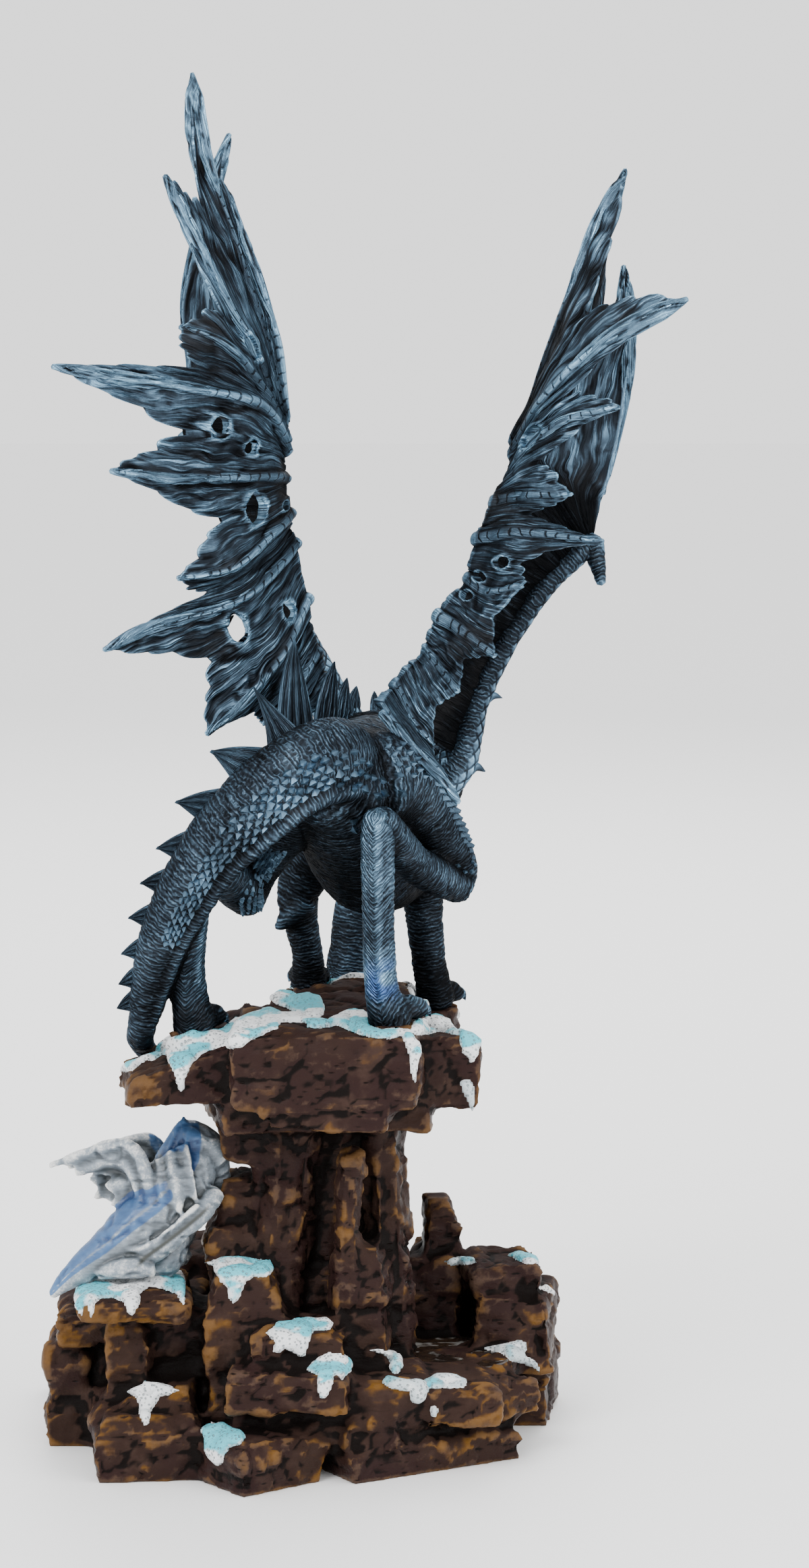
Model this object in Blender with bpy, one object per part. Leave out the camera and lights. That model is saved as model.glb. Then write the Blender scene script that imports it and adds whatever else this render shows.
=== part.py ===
# Dragon statue: a dark blue dragon, seen from behind, standing on a snowy rock plinth with a
# white hatchling on a lower slab. Lengths below are in millimetres and become metres at the end.
import bpy
import bmesh
import math
import numpy as np
from mathutils import Vector

# Driving dimensions
overallHeight = 458.0
plinthWidth = 178.0
plinthDepth = 168.0
fitGap = 0.35
bodyVoxel = 1.3
bodyTriangles = 2000
hatchlingVoxel = 0.85
hatchlingTriangles = 820
wingSheet = 2.4
wingRib = 1.8
foldShare = 0.3
leafEdge = 1.2
foldRows = 3
outerRows = 5
ribColumns = 3
rightHindPad = (31.0, -43.0, 148.3)
leftHindPad = (-34.0, -28.0, 143.4)
rightFrontPad = (46.0, 46.0, 138.0)
leftFrontPad = (2.0, 47.0, 144.0)
hatchlingSlabTop = 59.0
hatchlingHeight = 54.0
poolLevel = 29.0
rockFlatness = 6.0
mergeGap = 0.02
randomSeed = 7

metre = 0.001 * overallHeight / 458.0
rng = np.random.default_rng(randomSeed)


def clearScene():
    for item in list(bpy.data.objects):
        bpy.data.objects.remove(item, do_unlink=True)


def makeMaterial(name, colour, roughness, metallic):
    material = bpy.data.materials.new(name)
    material.use_nodes = True
    shader = material.node_tree.nodes["Principled BSDF"]
    shader.inputs["Base Color"].default_value = (*colour, 1.0)
    shader.inputs["Roughness"].default_value = roughness
    shader.inputs["Metallic"].default_value = metallic
    material.diffuse_color = (*colour, 1.0)
    return material


def makeObject(name, vertices, faces):
    mesh = bpy.data.meshes.new(name)
    scaled = [tuple(float(c) * metre for c in vertex) for vertex in vertices]
    mesh.from_pydata(scaled, [], [tuple(int(i) for i in face) for face in faces])
    work = bmesh.new()
    work.from_mesh(mesh)
    bmesh.ops.recalc_face_normals(work, faces=work.faces)
    work.to_mesh(mesh)
    work.free()
    item = bpy.data.objects.new(name, mesh)
    bpy.context.scene.collection.objects.link(item)
    return item


def bake(item):
    bpy.context.view_layer.update()
    graph = bpy.context.evaluated_depsgraph_get()
    mesh = bpy.data.meshes.new_from_object(item.evaluated_get(graph))
    item.modifiers.clear()
    item.data = mesh
    return item


def joinShells(name, shells):
    vertices = []
    faces = []
    for shellVertices, shellFaces in shells:
        start = len(vertices)
        vertices.extend(shellVertices)
        faces.extend([tuple(i + start for i in face) for face in shellFaces])
    return makeObject(name, vertices, faces)


def combine(item, others, operation):
    group = bpy.data.collections.new("tools")
    bpy.context.scene.collection.children.link(group)
    for other in others:
        group.objects.link(other)
    modifier = item.modifiers.new("combine", "BOOLEAN")
    modifier.operation = operation
    modifier.operand_type = "COLLECTION"
    modifier.collection = group
    modifier.solver = "EXACT"
    modifier.use_self = True
    bake(item)
    for other in others:
        bpy.data.objects.remove(other, do_unlink=True)
    bpy.data.collections.remove(group)
    return item


def keepLargest(item):
    work = bmesh.new()
    work.from_mesh(item.data)
    work.faces.ensure_lookup_table()
    seen = set()
    islands = []
    for face in work.faces:
        if face.index in seen:
            continue
        island = []
        stack = [face]
        seen.add(face.index)
        while stack:
            current = stack.pop()
            island.append(current)
            for edge in current.edges:
                for near in edge.link_faces:
                    if near.index not in seen:
                        seen.add(near.index)
                        stack.append(near)
        islands.append(island)
    islands.sort(key=lambda part: sum(f.calc_area() for f in part), reverse=True)
    for island in islands[1:]:
        bmesh.ops.delete(work, geom=island, context="FACES")
    loose = [v for v in work.verts if not v.link_faces]
    bmesh.ops.delete(work, geom=loose, context="VERTS")
    work.to_mesh(item.data)
    work.free()
    return item


def cleanSolid(item, flatness=0.0):
    work = bmesh.new()
    work.from_mesh(item.data)
    if flatness > 0.0:
        bmesh.ops.dissolve_limit(work, angle_limit=math.radians(flatness), verts=work.verts,
                                 edges=work.edges)
    bmesh.ops.remove_doubles(work, verts=work.verts, dist=mergeGap * metre)
    bmesh.ops.dissolve_degenerate(work, dist=mergeGap * metre, edges=work.edges)
    bmesh.ops.triangulate(work, faces=work.faces)
    bmesh.ops.recalc_face_normals(work, faces=work.faces)
    work.to_mesh(item.data)
    work.free()
    return item


def grownCopy(item, amount):
    mesh = item.data.copy()
    copy = bpy.data.objects.new(item.name + "Grown", mesh)
    bpy.context.scene.collection.objects.link(copy)
    work = bmesh.new()
    work.from_mesh(mesh)
    work.normal_update()
    moves = [(v, v.normal * amount * metre) for v in work.verts]
    for vertex, move in moves:
        vertex.co += move
    work.to_mesh(mesh)
    work.free()
    return copy


def remeshed(item, voxel, smoothing, triangles):
    remesh = item.modifiers.new("remesh", "REMESH")
    remesh.mode = "VOXEL"
    remesh.voxel_size = voxel * metre
    smooth = item.modifiers.new("smooth", "SMOOTH")
    smooth.factor = 0.5
    smooth.iterations = smoothing
    bake(item)
    keepLargest(item)
    count = sum(len(face.vertices) - 2 for face in item.data.polygons)
    decimate = item.modifiers.new("decimate", "DECIMATE")
    decimate.ratio = min(1.0, triangles / count)
    decimate.use_collapse_triangulate = True
    bake(item)
    return item


def smoothPath(rows, count):
    points = np.array(rows, float)
    lengths = np.linalg.norm(np.diff(points[:, :3], axis=0), axis=1)
    marks = np.concatenate([[0.0], np.cumsum(np.sqrt(lengths))])
    padded = np.vstack([2 * points[0] - points[1], points, 2 * points[-1] - points[-2]])
    result = []
    for mark in np.linspace(0.0, marks[-1], count):
        k = min(int(np.searchsorted(marks, mark, side="right")) - 1, len(points) - 2)
        u = (mark - marks[k]) / (marks[k + 1] - marks[k])
        a, b, c, d = padded[k], padded[k + 1], padded[k + 2], padded[k + 3]
        value = 0.5 * (2 * b + (c - a) * u + (2 * a - 5 * b + 4 * c - d) * u ** 2
                       + (3 * b - a - 3 * c + d) * u ** 3)
        low = np.minimum(b, c)[3:]
        high = np.maximum(b, c)[3:]
        value[3:] = np.clip(value[3:], low, high)
        result.append(value)
    return np.array(result)


def tube(rows, rings, sides, sideAxis=(1.0, 0.0, 0.0), profile=None):
    full = [row if len(row) == 5 else (*row, row[3]) for row in rows]
    path = smoothPath(full, rings)
    axis = np.array(sideAxis, float)
    tangents = np.gradient(path[:, :3], axis=0)
    vertices = []
    for ring in range(rings):
        tangent = tangents[ring] / np.linalg.norm(tangents[ring])
        side = axis - axis.dot(tangent) * tangent
        side /= np.linalg.norm(side)
        up = np.cross(side, tangent)
        for j in range(sides):
            angle = 2 * math.pi * j / sides
            swell = profile(angle, ring / (rings - 1)) if profile else 1.0
            offset = side * path[ring, 3] * math.cos(angle) + up * path[ring, 4] * math.sin(angle)
            vertices.append(path[ring, :3] + offset * swell)
    first = path[0, :3] - tangents[0] / np.linalg.norm(tangents[0]) * path[0, 3] * 0.5
    last = path[-1, :3] + tangents[-1] / np.linalg.norm(tangents[-1]) * path[-1, 3] * 0.5
    vertices.extend([first, last])
    faces = []
    for ring in range(rings - 1):
        for j in range(sides):
            nextJ = (j + 1) % sides
            faces.append((ring * sides + j, (ring + 1) * sides + j,
                          (ring + 1) * sides + nextJ, ring * sides + nextJ))
    for j in range(sides):
        nextJ = (j + 1) % sides
        faces.append((rings * sides, j, nextJ))
        faces.append((rings * sides + 1, (rings - 1) * sides + nextJ, (rings - 1) * sides + j))
    return vertices, faces


def fin(base, tip, along, halfLength, halfWidth):
    # A flattened spike: a diamond-shaped foot drawn out to a point.
    base = np.array(base, float)
    tip = np.array(tip, float)
    along = np.array(along, float)
    rise = tip - base
    rise /= np.linalg.norm(rise)
    along -= along.dot(rise) * rise
    along /= np.linalg.norm(along)
    across = np.cross(along, rise)
    foot = base - rise * 3.0
    ring = [foot + along * halfLength, foot + across * halfWidth,
            foot - along * halfLength, foot - across * halfWidth]
    middle = [base + (p - foot) * 0.62 + (tip - base) * 0.45 for p in ring]
    vertices = ring + middle + [tip]
    faces = [(3, 2, 1, 0)]
    for j in range(4):
        k = (j + 1) % 4
        faces.append((j, k, 4 + k, 4 + j))
        faces.append((4 + j, 4 + k, 8))
    return vertices, faces


def boulder(low, high, slope=(0.0, 0.0), yaw=0.0, chamfer=2.0, jitter=1.3):
    # A rough chiselled block: a box with a proud middle course and cut upper edges.
    low = np.array(low, float)
    high = np.array(high, float)
    centre = (low + high) / 2
    half = (high - low) / 2
    points = []
    for level, inset in ((-1.0, 0.6), (0.45, -0.5), (1.0, chamfer)):
        for sx, sy in ((-1, -1), (1, -1), (1, 1), (-1, 1)):
            x = sx * (half[0] - inset) + rng.uniform(-jitter, jitter)
            y = sy * (half[1] - inset) + rng.uniform(-jitter, jitter)
            z = level * half[2]
            if level > 0.9:
                z += rng.uniform(-jitter, 0.0) * 0.5
            z += (slope[0] * x + slope[1] * y) * (1.0 if level > -0.5 else 0.0)
            turn = math.radians(yaw)
            points.append((centre[0] + x * math.cos(turn) - y * math.sin(turn),
                           centre[1] + x * math.sin(turn) + y * math.cos(turn),
                           centre[2] + z))
    work = bmesh.new()
    for point in points:
        work.verts.new(Vector(point))
    hull = bmesh.ops.convex_hull(work, input=work.verts)
    unused = [g for g in hull["geom_interior"] if isinstance(g, bmesh.types.BMVert)]
    bmesh.ops.delete(work, geom=unused, context="VERTS")
    work.verts.index_update()
    vertices = [tuple(v.co) for v in work.verts]
    faces = [tuple(v.index for v in f.verts) for f in work.faces]
    work.free()
    return vertices, faces


def prism(centre, radius, low, high, sides):
    vertices = []
    for z in (low, high):
        for j in range(sides):
            angle = 2 * math.pi * j / sides
            vertices.append((centre[0] + radius * math.cos(angle),
                             centre[1] + radius * math.sin(angle), z))
    faces = [tuple(range(sides - 1, -1, -1)), tuple(range(sides, 2 * sides))]
    for j in range(sides):
        k = (j + 1) % sides
        faces.append((j, k, sides + k, sides + j))
    return vertices, faces


# Rock plinth
def buildRock():
    halfWidth = plinthWidth / 2
    front = -plinthDepth / 2
    back = plinthDepth / 2
    right = halfWidth
    left = -halfWidth
    blocks = [
        # low core and the ring of footing boulders
        boulder((-66, -44, 0), (60, 58, 17), jitter=0.5),
        boulder((left + 3, -24, 0), (-62, 30, 16.5)),
        boulder((-69, -66, 0), (-33, -18, 22.5), yaw=6, chamfer=3),
        boulder((-55, -54, 10), (-32, -14, 29), yaw=-6),
        boulder((-29, front + 6, 0), (4, -46, 17), yaw=38, chamfer=3),
        boulder((6, -56, 0), (72, -22, 10.5), yaw=29, chamfer=1.5),
        boulder((4, -53, 10), (70, -20, 21.5), yaw=30, chamfer=2.5),
        boulder((21, -63, 7), (31, -40, 25), yaw=12),
        boulder((62, 2, 0), (right - 2, 46, 26), yaw=-6),
        boulder((-84, 22, 0), (-44, 64, 24), yaw=24),
        boulder((-50, 44, 0), (0, back - 2, 20), yaw=8, chamfer=3),
        boulder((-6, 48, 0), (46, back, 15), yaw=-7, chamfer=3),
        boulder((36, 36, 0), (78, 70, 23), yaw=-32),
        # left stack under the hatchling
        boulder((-86, -26, 15), (-70, 20, 35)),
        boulder((-73, -20, 12), (-55, 32, 40), jitter=0.8),
        boulder((-63, -45, 20), (-48, -6, 48), yaw=-4),
        boulder((-82, -30, 36), (-63, 12, 48), yaw=3),
        boulder((-62, -38, 30), (-30, 20, 51), jitter=0.8),
        boulder((-72, -54, 50), (-36, -4, hatchlingSlabTop - 0.6), chamfer=2.5),
        boulder((-78, 10, 20), (-50, 40, 46), yaw=16),
        # tall block and the crags behind it
        boulder((-30, -50, 10), (-5, -10, 66), chamfer=3),
        boulder((-31, -30, 55), (-14, 2, 77), yaw=5),
        boulder((-26, -24, 70), (-13, 6, 92), yaw=-5),
        # stepped slabs in the middle
        boulder((-22, -72, 24), (18, -30, 39), yaw=-3, chamfer=2),
        boulder((-15, -64, 36), (16, -30, 50), yaw=4, chamfer=3),
        boulder((16, -60, 17), (42, -24, 33), yaw=5),
        boulder((40, -56, 16), (65, -26, 30), yaw=14),
        boulder((-20, -62, 8), (34, -20, 30), jitter=0.8),
        # rocks at the right of the pool
        boulder((60, -8, 22), (87, 34, 47), yaw=-5),
        boulder((57, -2, 45), (81, 30, 57.5), yaw=6),
        boulder((41, 18, 40), (53, 34, 75.5), yaw=8),
        boulder((36, 10, 20), (56, 46, 57), yaw=-6),
        boulder((48, 28, 15), (76, 56, 42), yaw=-14),
        boulder((56, -40, 14), (76, -14, 27), yaw=32),
        # back of the plinth
        boulder((-46, 14, 15), (-8, 56, 58), yaw=10),
        boulder((-14, 30, 12), (36, 66, 44), yaw=-6),
        boulder((-30, 22, 50), (4, 44, 82), yaw=-9),
    ]
    pool = [prism((48.0, -12.0), 26.0, 5.0, poolLevel, 16)]
    pillar = [
        tube([(0, -8, 5, 27, 26), (3, -4, 40, 24, 24), (6, 0, 80, 20, 22), (8, 2, 105, 25, 26),
              (10, 2, 124, 34, 34)], 7, 10),
        tube([(-12, -22, 24, 14, 15), (-9, -21, 55, 13, 14), (-5, -20, 85, 11.5, 13),
              (-2, -20, 112, 14, 15), (-2, -20, 126, 17, 16)], 7, 7),
        tube([(15, -36, 20, 7.5, 9), (16, -34, 60, 6, 9), (17, -33, 90, 5, 8),
              (18, -33, 104, 5.5, 7)], 6, 6),
        tube([(31, -12, 20, 11, 16), (31, -12, 60, 9, 14), (27, -12, 90, 9, 14),
              (28, -12, 120, 11, 17)], 6, 7),
        boulder((16, -42, 20), (31, -18, 73), yaw=-4, chamfer=3),
        boulder((2, 10, 20), (30, 40, 112), yaw=12, chamfer=3),
    ]
    ledge = [
        boulder((-21, -61, 122), (42, 3, 147.6), yaw=-2, chamfer=1.5, jitter=0.8),
        boulder((-4, -24, 120), (40, 54, 147), yaw=2, chamfer=1.5, jitter=0.8),
        boulder((-58, -49, 121), (-16, -10, 138), slope=(0.36, 0.0), yaw=10, chamfer=1.5),
        boulder((-49, -13, 123), (-24, -4, 140), slope=(0.3, 0.0), yaw=14, chamfer=1.2),
        boulder((-34, -28, 123), (-6, 2, 145), slope=(0.1, 0.0), yaw=24, jitter=0.8),
        boulder((38, -38, 118), (59, 28, 138.5), slope=(0.0, -0.16), yaw=4),
        boulder((-10, -61, 115), (32, -20, 126), yaw=-3, chamfer=0.5),
        boulder((-30, -42, 110), (20, 18, 126), yaw=8),
        boulder((-24, -28, 98), (6, 10, 114), yaw=-6),
        boulder((12, -40, 111), (48, 24, 124), yaw=-6),
        boulder((22, 22, 118), (51, 60, 138.0), yaw=-4),
        boulder((-6, 24, 116), (26, 61, 144.2), yaw=4),
        boulder((2, 28, 138), (24, 48, 149), yaw=10),
        boulder((-10, 0, 124), (8, 24, 147.5), yaw=-14),
    ]
    base = makeObject("rock_base", *blocks[0])
    others = [makeObject("block", *shell) for shell in blocks[1:] + pool + pillar + ledge]
    for pad in (rightHindPad, leftHindPad, rightFrontPad, leftFrontPad):
        others.append(makeObject("pad", *prism(pad, 9.5, pad[2] - 12.0, pad[2], 9)))
    combine(base, others, "UNION")
    room = []
    for pad in (rightHindPad, leftHindPad, rightFrontPad, leftFrontPad):
        room.append(makeObject("room", *prism(pad, 9.5, pad[2], pad[2] + 30.0, 9)))
    room.append(makeObject("room", *prism((48.0, -12.0), 12.0, poolLevel, poolLevel + 9, 12)))
    below = boulder((-120, -120, -20), (120, 120, 0.0), chamfer=0.0, jitter=0.0)
    room.append(makeObject("below", *below))
    combine(base, room, "DIFFERENCE")
    keepLargest(base)
    return cleanSolid(base)


# Dragon body, legs, tail, neck and head
def above(pad, x, y, z, *radii):
    # A row of a leg measured from the middle of the pad it stands on.
    return (pad[0] + x, pad[1] + y, pad[2] + z, *radii)


facing = (0.96, -0.28, 0.0)
torsoRows = [(8, -44, 228, 13, 13), (14, -34, 226, 19, 19), (19, -18, 221, 23, 25),
             (22, -2, 216, 24, 30), (25, 12, 211, 24, 35), (29, 26, 211, 23, 35),
             (34, 38, 216, 19, 27), (38, 48, 222, 14, 18)]
tailRows = [(16, -30, 231, 14), (11, -44, 236, 14), (0, -52, 231, 14.5), (-14, -56, 219, 14),
            (-25, -54, 207, 12.6), (-33.5, -50, 194, 11.2), (-40, -45, 182, 9.6),
            (-45, -40, 171, 8), (-48.5, -34, 158, 6.6), (-51, -28, 147, 5.2),
            (-52.5, -20, 140.5, 4.6), (-53, -10, 137, 4.2), (-52, -1, 132, 3.7),
            (-48, 6, 128, 3.2), (-39, 12, 127, 2.4), (-30, 15, 129, 1.2)]
neckRows = [(34, 32, 216, 19), (40, 46, 226, 16), (43, 58, 231, 13.5), (44, 69, 228, 12.5),
            (42, 80, 217, 11.8), (36, 89, 200, 11.2), (28, 95, 182, 10.6), (21, 98, 166, 10.2),
            (18, 97.5, 150, 9.6), (15.5, 96.5, 138, 9.6), (9, 95, 129, 9.2)]
skullRows = [(15, 96, 131, 8, 9), (7, 95, 129, 10.5, 11), (-1, 94, 126.5, 11, 10.5),
             (-9, 93, 122.5, 8.6, 8), (-18, 92, 117.5, 6.6, 5.8), (-27, 91, 113.5, 5.4, 4.8),
             (-32, 90.5, 111.5, 4, 3.6)]
jawRows = [(4, 94, 119, 8, 4.6), (-7, 93, 112.5, 6.8, 3.8), (-18, 92, 106.5, 5.2, 3.2),
           (-26, 91, 103.2, 3.8, 2.7), (-30, 90.5, 102.4, 2.4, 2)]
rightHindRows = [(24, -32, 227, 16), (30, -27, 227, 16), (38.5, -20, 219.5, 11.5),
                 (47, -10, 207.5, 8.4), (53, -2, 196, 6.6), (54, 1, 189, 6)]
rightShinRows = [(54, 0, 187.5, 6), (44.5, -16, 193.6, 6.2), (36, -32, 202.4, 6.2),
                 (31, -46, 212, 5.8), (27.5, -53, 218, 5)]
rightFootRows = [(26.8, -54, 219.5, 4.6), (26.6, -52, 211, 5.6), (26.8, -48.5, 191, 5.4),
                 (27, -45.5, 174, 5.3), above(rightHindPad, -3, -0.5, 11.7, 5.8),
                 above(rightHindPad, -1, -0.5, 3.7, 7.0), above(rightHindPad, 0, 1, 0.2, 7.4)]
leftHindRows = [(4, -32, 228, 15), (-5, -21, 217, 15), (-12, -10, 205, 12.5), (-17, -2, 192, 9.5),
                (-17.5, 2, 183, 7), (-17, 3, 178.5, 4.6)]
leftShinRows = [(-17, 1, 183, 6.6), (-21, -14, 190, 7.6), (-25, -30, 197, 7.4), (-28.5, -42, 203, 6.6),
                (-30.5, -48, 208, 6)]
leftFootRows = [(-30.5, -47.5, 209, 5.4), (-32, -44.5, 200, 5.6), (-33.5, -40, 188, 5.4),
                (-34.6, -36, 177, 5.3), (-35.6, -33, 166, 5.4), above(leftHindPad, -1.4, -2.5, 11.6, 6),
                above(leftHindPad, -0.4, -0.5, 4.1, 7), above(leftHindPad, 0, 0, 0.1, 7.4)]
rightFrontRows = [(36, 24, 212, 14), (39, 28, 198, 12), (41.5, 33, 183, 8), (42.4, 37, 169, 6.4),
                  (43.6, 41, 156, 6), above(rightFrontPad, -0.6, -2, 8, 6.2),
                  above(rightFrontPad, 0.2, 0, 1, 6.6)]
leftFrontRows = [(13, 28, 206, 13), (4, 33, 192, 10), (-1, 36, 180, 7.6), (-0.6, 39, 170, 6.2),
                 (1.6, 43, 159, 5.4), above(leftFrontPad, 0, -1, 7, 5.8),
                 above(leftFrontPad, 0, 0, 1, 6.8)]


def toes(pad, heading, length, radius, spread):
    shells = []
    for turn in spread:
        angle = math.radians(heading + turn)
        ahead = np.array((math.cos(angle), math.sin(angle)))
        start = np.array(pad[:2]) - ahead * 2.0
        knuckle = np.array(pad[:2]) + ahead * length * 0.55
        end = np.array(pad[:2]) + ahead * length
        rows = [(*start, pad[2] + radius * 1.3, radius), (*knuckle, pad[2] + radius, radius),
                (*end, pad[2] + radius * 0.45, radius * 0.4)]
        shells.append(tube(rows, 4, 6, sideAxis=(-ahead[1], ahead[0], 0.0)))
    return shells


def buildBody():
    shells = [
        tube(torsoRows, 16, 18, facing),
        tube(tailRows, 40, 12, facing),
        tube(neckRows, 22, 12, facing),
        tube(skullRows, 10, 12, (0.1, 1.0, 0.0)),
        tube(jawRows, 8, 8, (0.1, 1.0, 0.0)),
        tube(rightHindRows, 12, 12, facing),
        tube(rightShinRows, 10, 10, facing),
        tube(rightFootRows, 12, 10, facing),
        tube(leftHindRows, 12, 12, facing),
        tube(leftShinRows, 10, 10, facing),
        tube(leftFootRows, 12, 10, facing),
        tube(rightFrontRows, 12, 12, facing),
        tube(leftFrontRows, 12, 12, facing),
        tube([(34, 20, 214, 17), (42, 22, 222, 15), (46, 20, 229, 11)], 5, 10, facing),
        tube([(20, 22, 216, 17), (14, 24, 230, 15), (11, 26, 240, 11)], 5, 10, facing),
        tube([(2, 32, 178, 5), (-5, 33, 171, 3.5), (-8.5, 34, 167, 1.2)], 4, 6),
        tube([(5, 89, 134, 3.6), (14, 86, 139, 3), (22, 85, 142, 2.2), (28, 85, 146, 1.1)], 6, 6),
        tube([(5, 101, 134, 3.6), (13, 105, 139, 3), (21, 107, 143, 2.2), (27, 107, 148, 1.1)], 6, 6),
        tube([(-4, 88.5, 130, 2.6), (-11, 88, 126, 2)], 3, 6),
        tube([(-4, 99.5, 130, 2.6), (-11, 98.5, 126, 2)], 3, 6),
    ]
    shells += toes(rightHindPad, 74, 17, 4.4, (-34, 0, 32))
    shells += toes(leftHindPad, 74, 14, 4.2, (-34, 0, 32))
    shells += toes(rightFrontPad, 74, 14, 4.2, (-34, 0, 34))
    shells += toes(leftFrontPad, 90, 13, 4.0, (-34, 0, 34))
    body = joinShells("dragon_body", shells)
    remeshed(body, bodyVoxel, 4, bodyTriangles)
    spikes = []
    dorsal = [((-2, -14, 240), (-1, -15, 271), 7), ((9, -1, 243), (12, 3, 262), 6),
              ((14, 12, 244), (16, 17, 256), 5), ((18, 22, 244), (19, 28, 252), 4.5),
              ((26, 35, 241), (25, 39, 249), 4), ((37, 50, 241), (37, 54, 249), 4),
              ((43, 65, 239), (44, 70, 247), 4), ((45, 80, 227), (48, 88, 232), 4),
              ((38, 97, 203), (43, 106, 207), 4), ((30, 104, 186), (33, 114, 189), 4),
              ((22, 107, 168), (24, 116, 169), 3.6), ((19, 105, 150), (21, 114, 150), 3.4)]
    for base, tip, reach in dorsal:
        spikes.append(fin(base, tip, (0.2, 1.0, -0.05), reach, 2.2))
    tail = [((-6, -45, 243), (-12, -32, 261), 7), ((-15, -51, 231), (-25, -50, 242), 6),
            ((-26, -51, 219), (-37, -53, 226), 6), ((-34, -49, 206), (-44, -49, 210), 5.5),
            ((-40, -46, 194), (-49.5, -46, 198), 5), ((-46, -42, 182), (-54, -44, 186), 4.6),
            ((-50, -38, 171), (-57, -39, 173), 4), ((-53, -34, 161), (-58.5, -35, 162), 3.6),
            ((-54.5, -30, 152), (-59.5, -30, 152.5), 3.2)]
    for base, tip, reach in tail:
        spikes.append(fin(base, tip, (-0.5, -0.1, -0.8), reach, 2.0))
    objects = [makeObject("spike", *shell) for shell in spikes]
    combine(body, objects, "UNION")
    room = []
    for pad in (rightHindPad, leftHindPad, rightFrontPad, leftFrontPad):
        shape = prism(pad, 21.0, pad[2] - 9.0, pad[2] + fitGap, 12)
        if pad is rightFrontPad or pad is leftFrontPad:
            shape = prism((pad[0], pad[1] + 2.0), 19.0, pad[2] - 9.0, pad[2] + fitGap, 12)
        room.append(makeObject("room", *shape))
    combine(body, room, "DIFFERENCE")
    keepLargest(body)
    return cleanSolid(body)


# Wings: each rib runs from the arm over the fold to its tip, and the skin is spread between them.
# A hole leaves out one cell of the skin, named by its column and row.
leftRibs = [
    [(-36, 48, 341), (-37, 47.5, 351), (-38, 45, 362), (-39, 41, 383), (-32, 43, 411), (-24, 45, 438)],
    [(-35, 47.5, 339), (-6, 15, 343), (-7.5, 13, 366), (-13, 13, 387), (-21, 17, 408), (-26, 21, 422)],
    [(-34, 47, 337), (-6, 14.5, 341), (-11, 11, 367), (-20, 11, 397), (-32, 14, 430), (-35.5, 20, 458)],
    [(-33, 47, 334), (-6, 14, 339), (-15, 4, 365), (-27, -2, 389), (-43, -8, 424)],
    [(-31.5, 46, 331.5), (-5, 13, 336.5), (-15, 0, 358), (-24, -10, 369), (-38, -16, 375)],
    [(-31, 46, 328), (-5, 12, 333), (-9, 2, 345), (-21, -10, 352), (-56, -32, 359), (-78, -40, 363)],
    [(-29, 46, 320), (-5, 12, 324), (-13, -2, 325), (-39, -24, 326), (-60, -34, 329)],
    [(-25, 45, 310), (-3, 10, 312), (-9, 0, 306), (-21, -12, 296), (-39, -22, 293)],
    [(-18, 43, 297), (-2, 10, 302), (-6, 2, 296), (-21, -12, 284), (-48, -24, 277), (-63, -28, 270)],
    [(-6, 37, 274), (2, 10, 283), (-5, 0, 268), (-16, -10, 253), (-30, -18, 241)],
    [(5, 30, 256), (5, 11, 265), (0, 4, 256), (-5, 0, 249), (-12, -6, 243)],
    [(11, 26, 246), (12, 13, 250), (8, 9, 248), (5, 6, 247), (2, 3, 246)],
]
leftNotches = [0.85, 0.85, 0.82, 0.74, 0.75, 0.72, 0.7, 0.76, 0.78, 0.86, 0.9]
leftArm = [(14, 25, 238, 9), (9, 29, 249, 7), (1, 37, 264, 6), (-14, 45, 289, 5.2),
           (-27, 49, 318, 4.8), (-34, 48, 334, 5), (-38, 47, 342, 3.4)]
rightRibs = [
    [(98.5, 20, 303), (101, 22, 315), (105, 24, 329), (109, 22, 351), (110, 20, 370), (109, 25, 394)],
    [(97, 20, 301), (72.5, -4, 337), (79, -4, 353), (89, 2, 380), (98, 8, 403), (109, 15, 426)],
    [(95, 20, 299), (72.5, -7, 333), (82, -22, 352), (101, -35, 371), (126, -46, 385)],
    [(93, 19, 297), (70, -10, 325), (79, -20, 338), (90, -28, 346), (105, -36, 350)],
    [(89, 18, 293), (65.5, -12, 317), (75, -20, 320), (90, -28, 321)],
    [(84, 17, 288), (59.5, -12, 305), (75, -22, 308), (100, -34, 306)],
    [(76, 16, 278), (57, -12, 292), (64, -18, 288), (74, -25, 291)],
    [(68, 15, 266), (51, -13, 280), (57, -20, 274), (65, -27, 268)],
    [(62, 13, 253), (43.5, -13, 266), (49, -19, 261), (53, -25, 256)],
    [(57, 11, 240), (33, -19, 252), (38, -25, 246), (45, -31, 239)],
    [(54, 9, 229), (28, -25, 245), (38, -33, 238), (48, -37, 228), (53, -39, 221)],
]
rightNotches = [0.74, 0.72, 0.65, 0.64, 0.66, 0.72, 0.8, 0.75, 0.8, 0.85]
rightArm = [(46, 8, 220, 8), (54, 10, 230, 6.5), (58.5, 12, 246, 5), (65, 14, 261, 4.6),
            (72.5, 15, 274, 4.4), (83, 17, 288, 4.2), (92.5, 19, 296.5, 4.2), (98, 20, 301, 4.2),
            (100, 19, 295, 3), (101.7, 17, 288, 1.4)]
leftSpikes = [((4, 38, 262), (6, 46, 262)), ((-10, 46, 284), (-9, 54, 283)),
              ((-22, 50, 306), (-22, 58, 305)), ((-38, 48, 336), (-44, 48, 333))]
rightSpikes = [((72, 16, 272), (77.5, 17, 273.5)), ((62, 13, 249), (68.5, 13, 249.5)),
               ((57, 10, 226), (62.5, 10, 225))]
leftHoles = [(9, 5), (16, 6), (19, 5), (24, 6), (25, 6), (26, 4)]
rightHoles = [(8, 5), (16, 5), (18, 3)]


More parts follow.
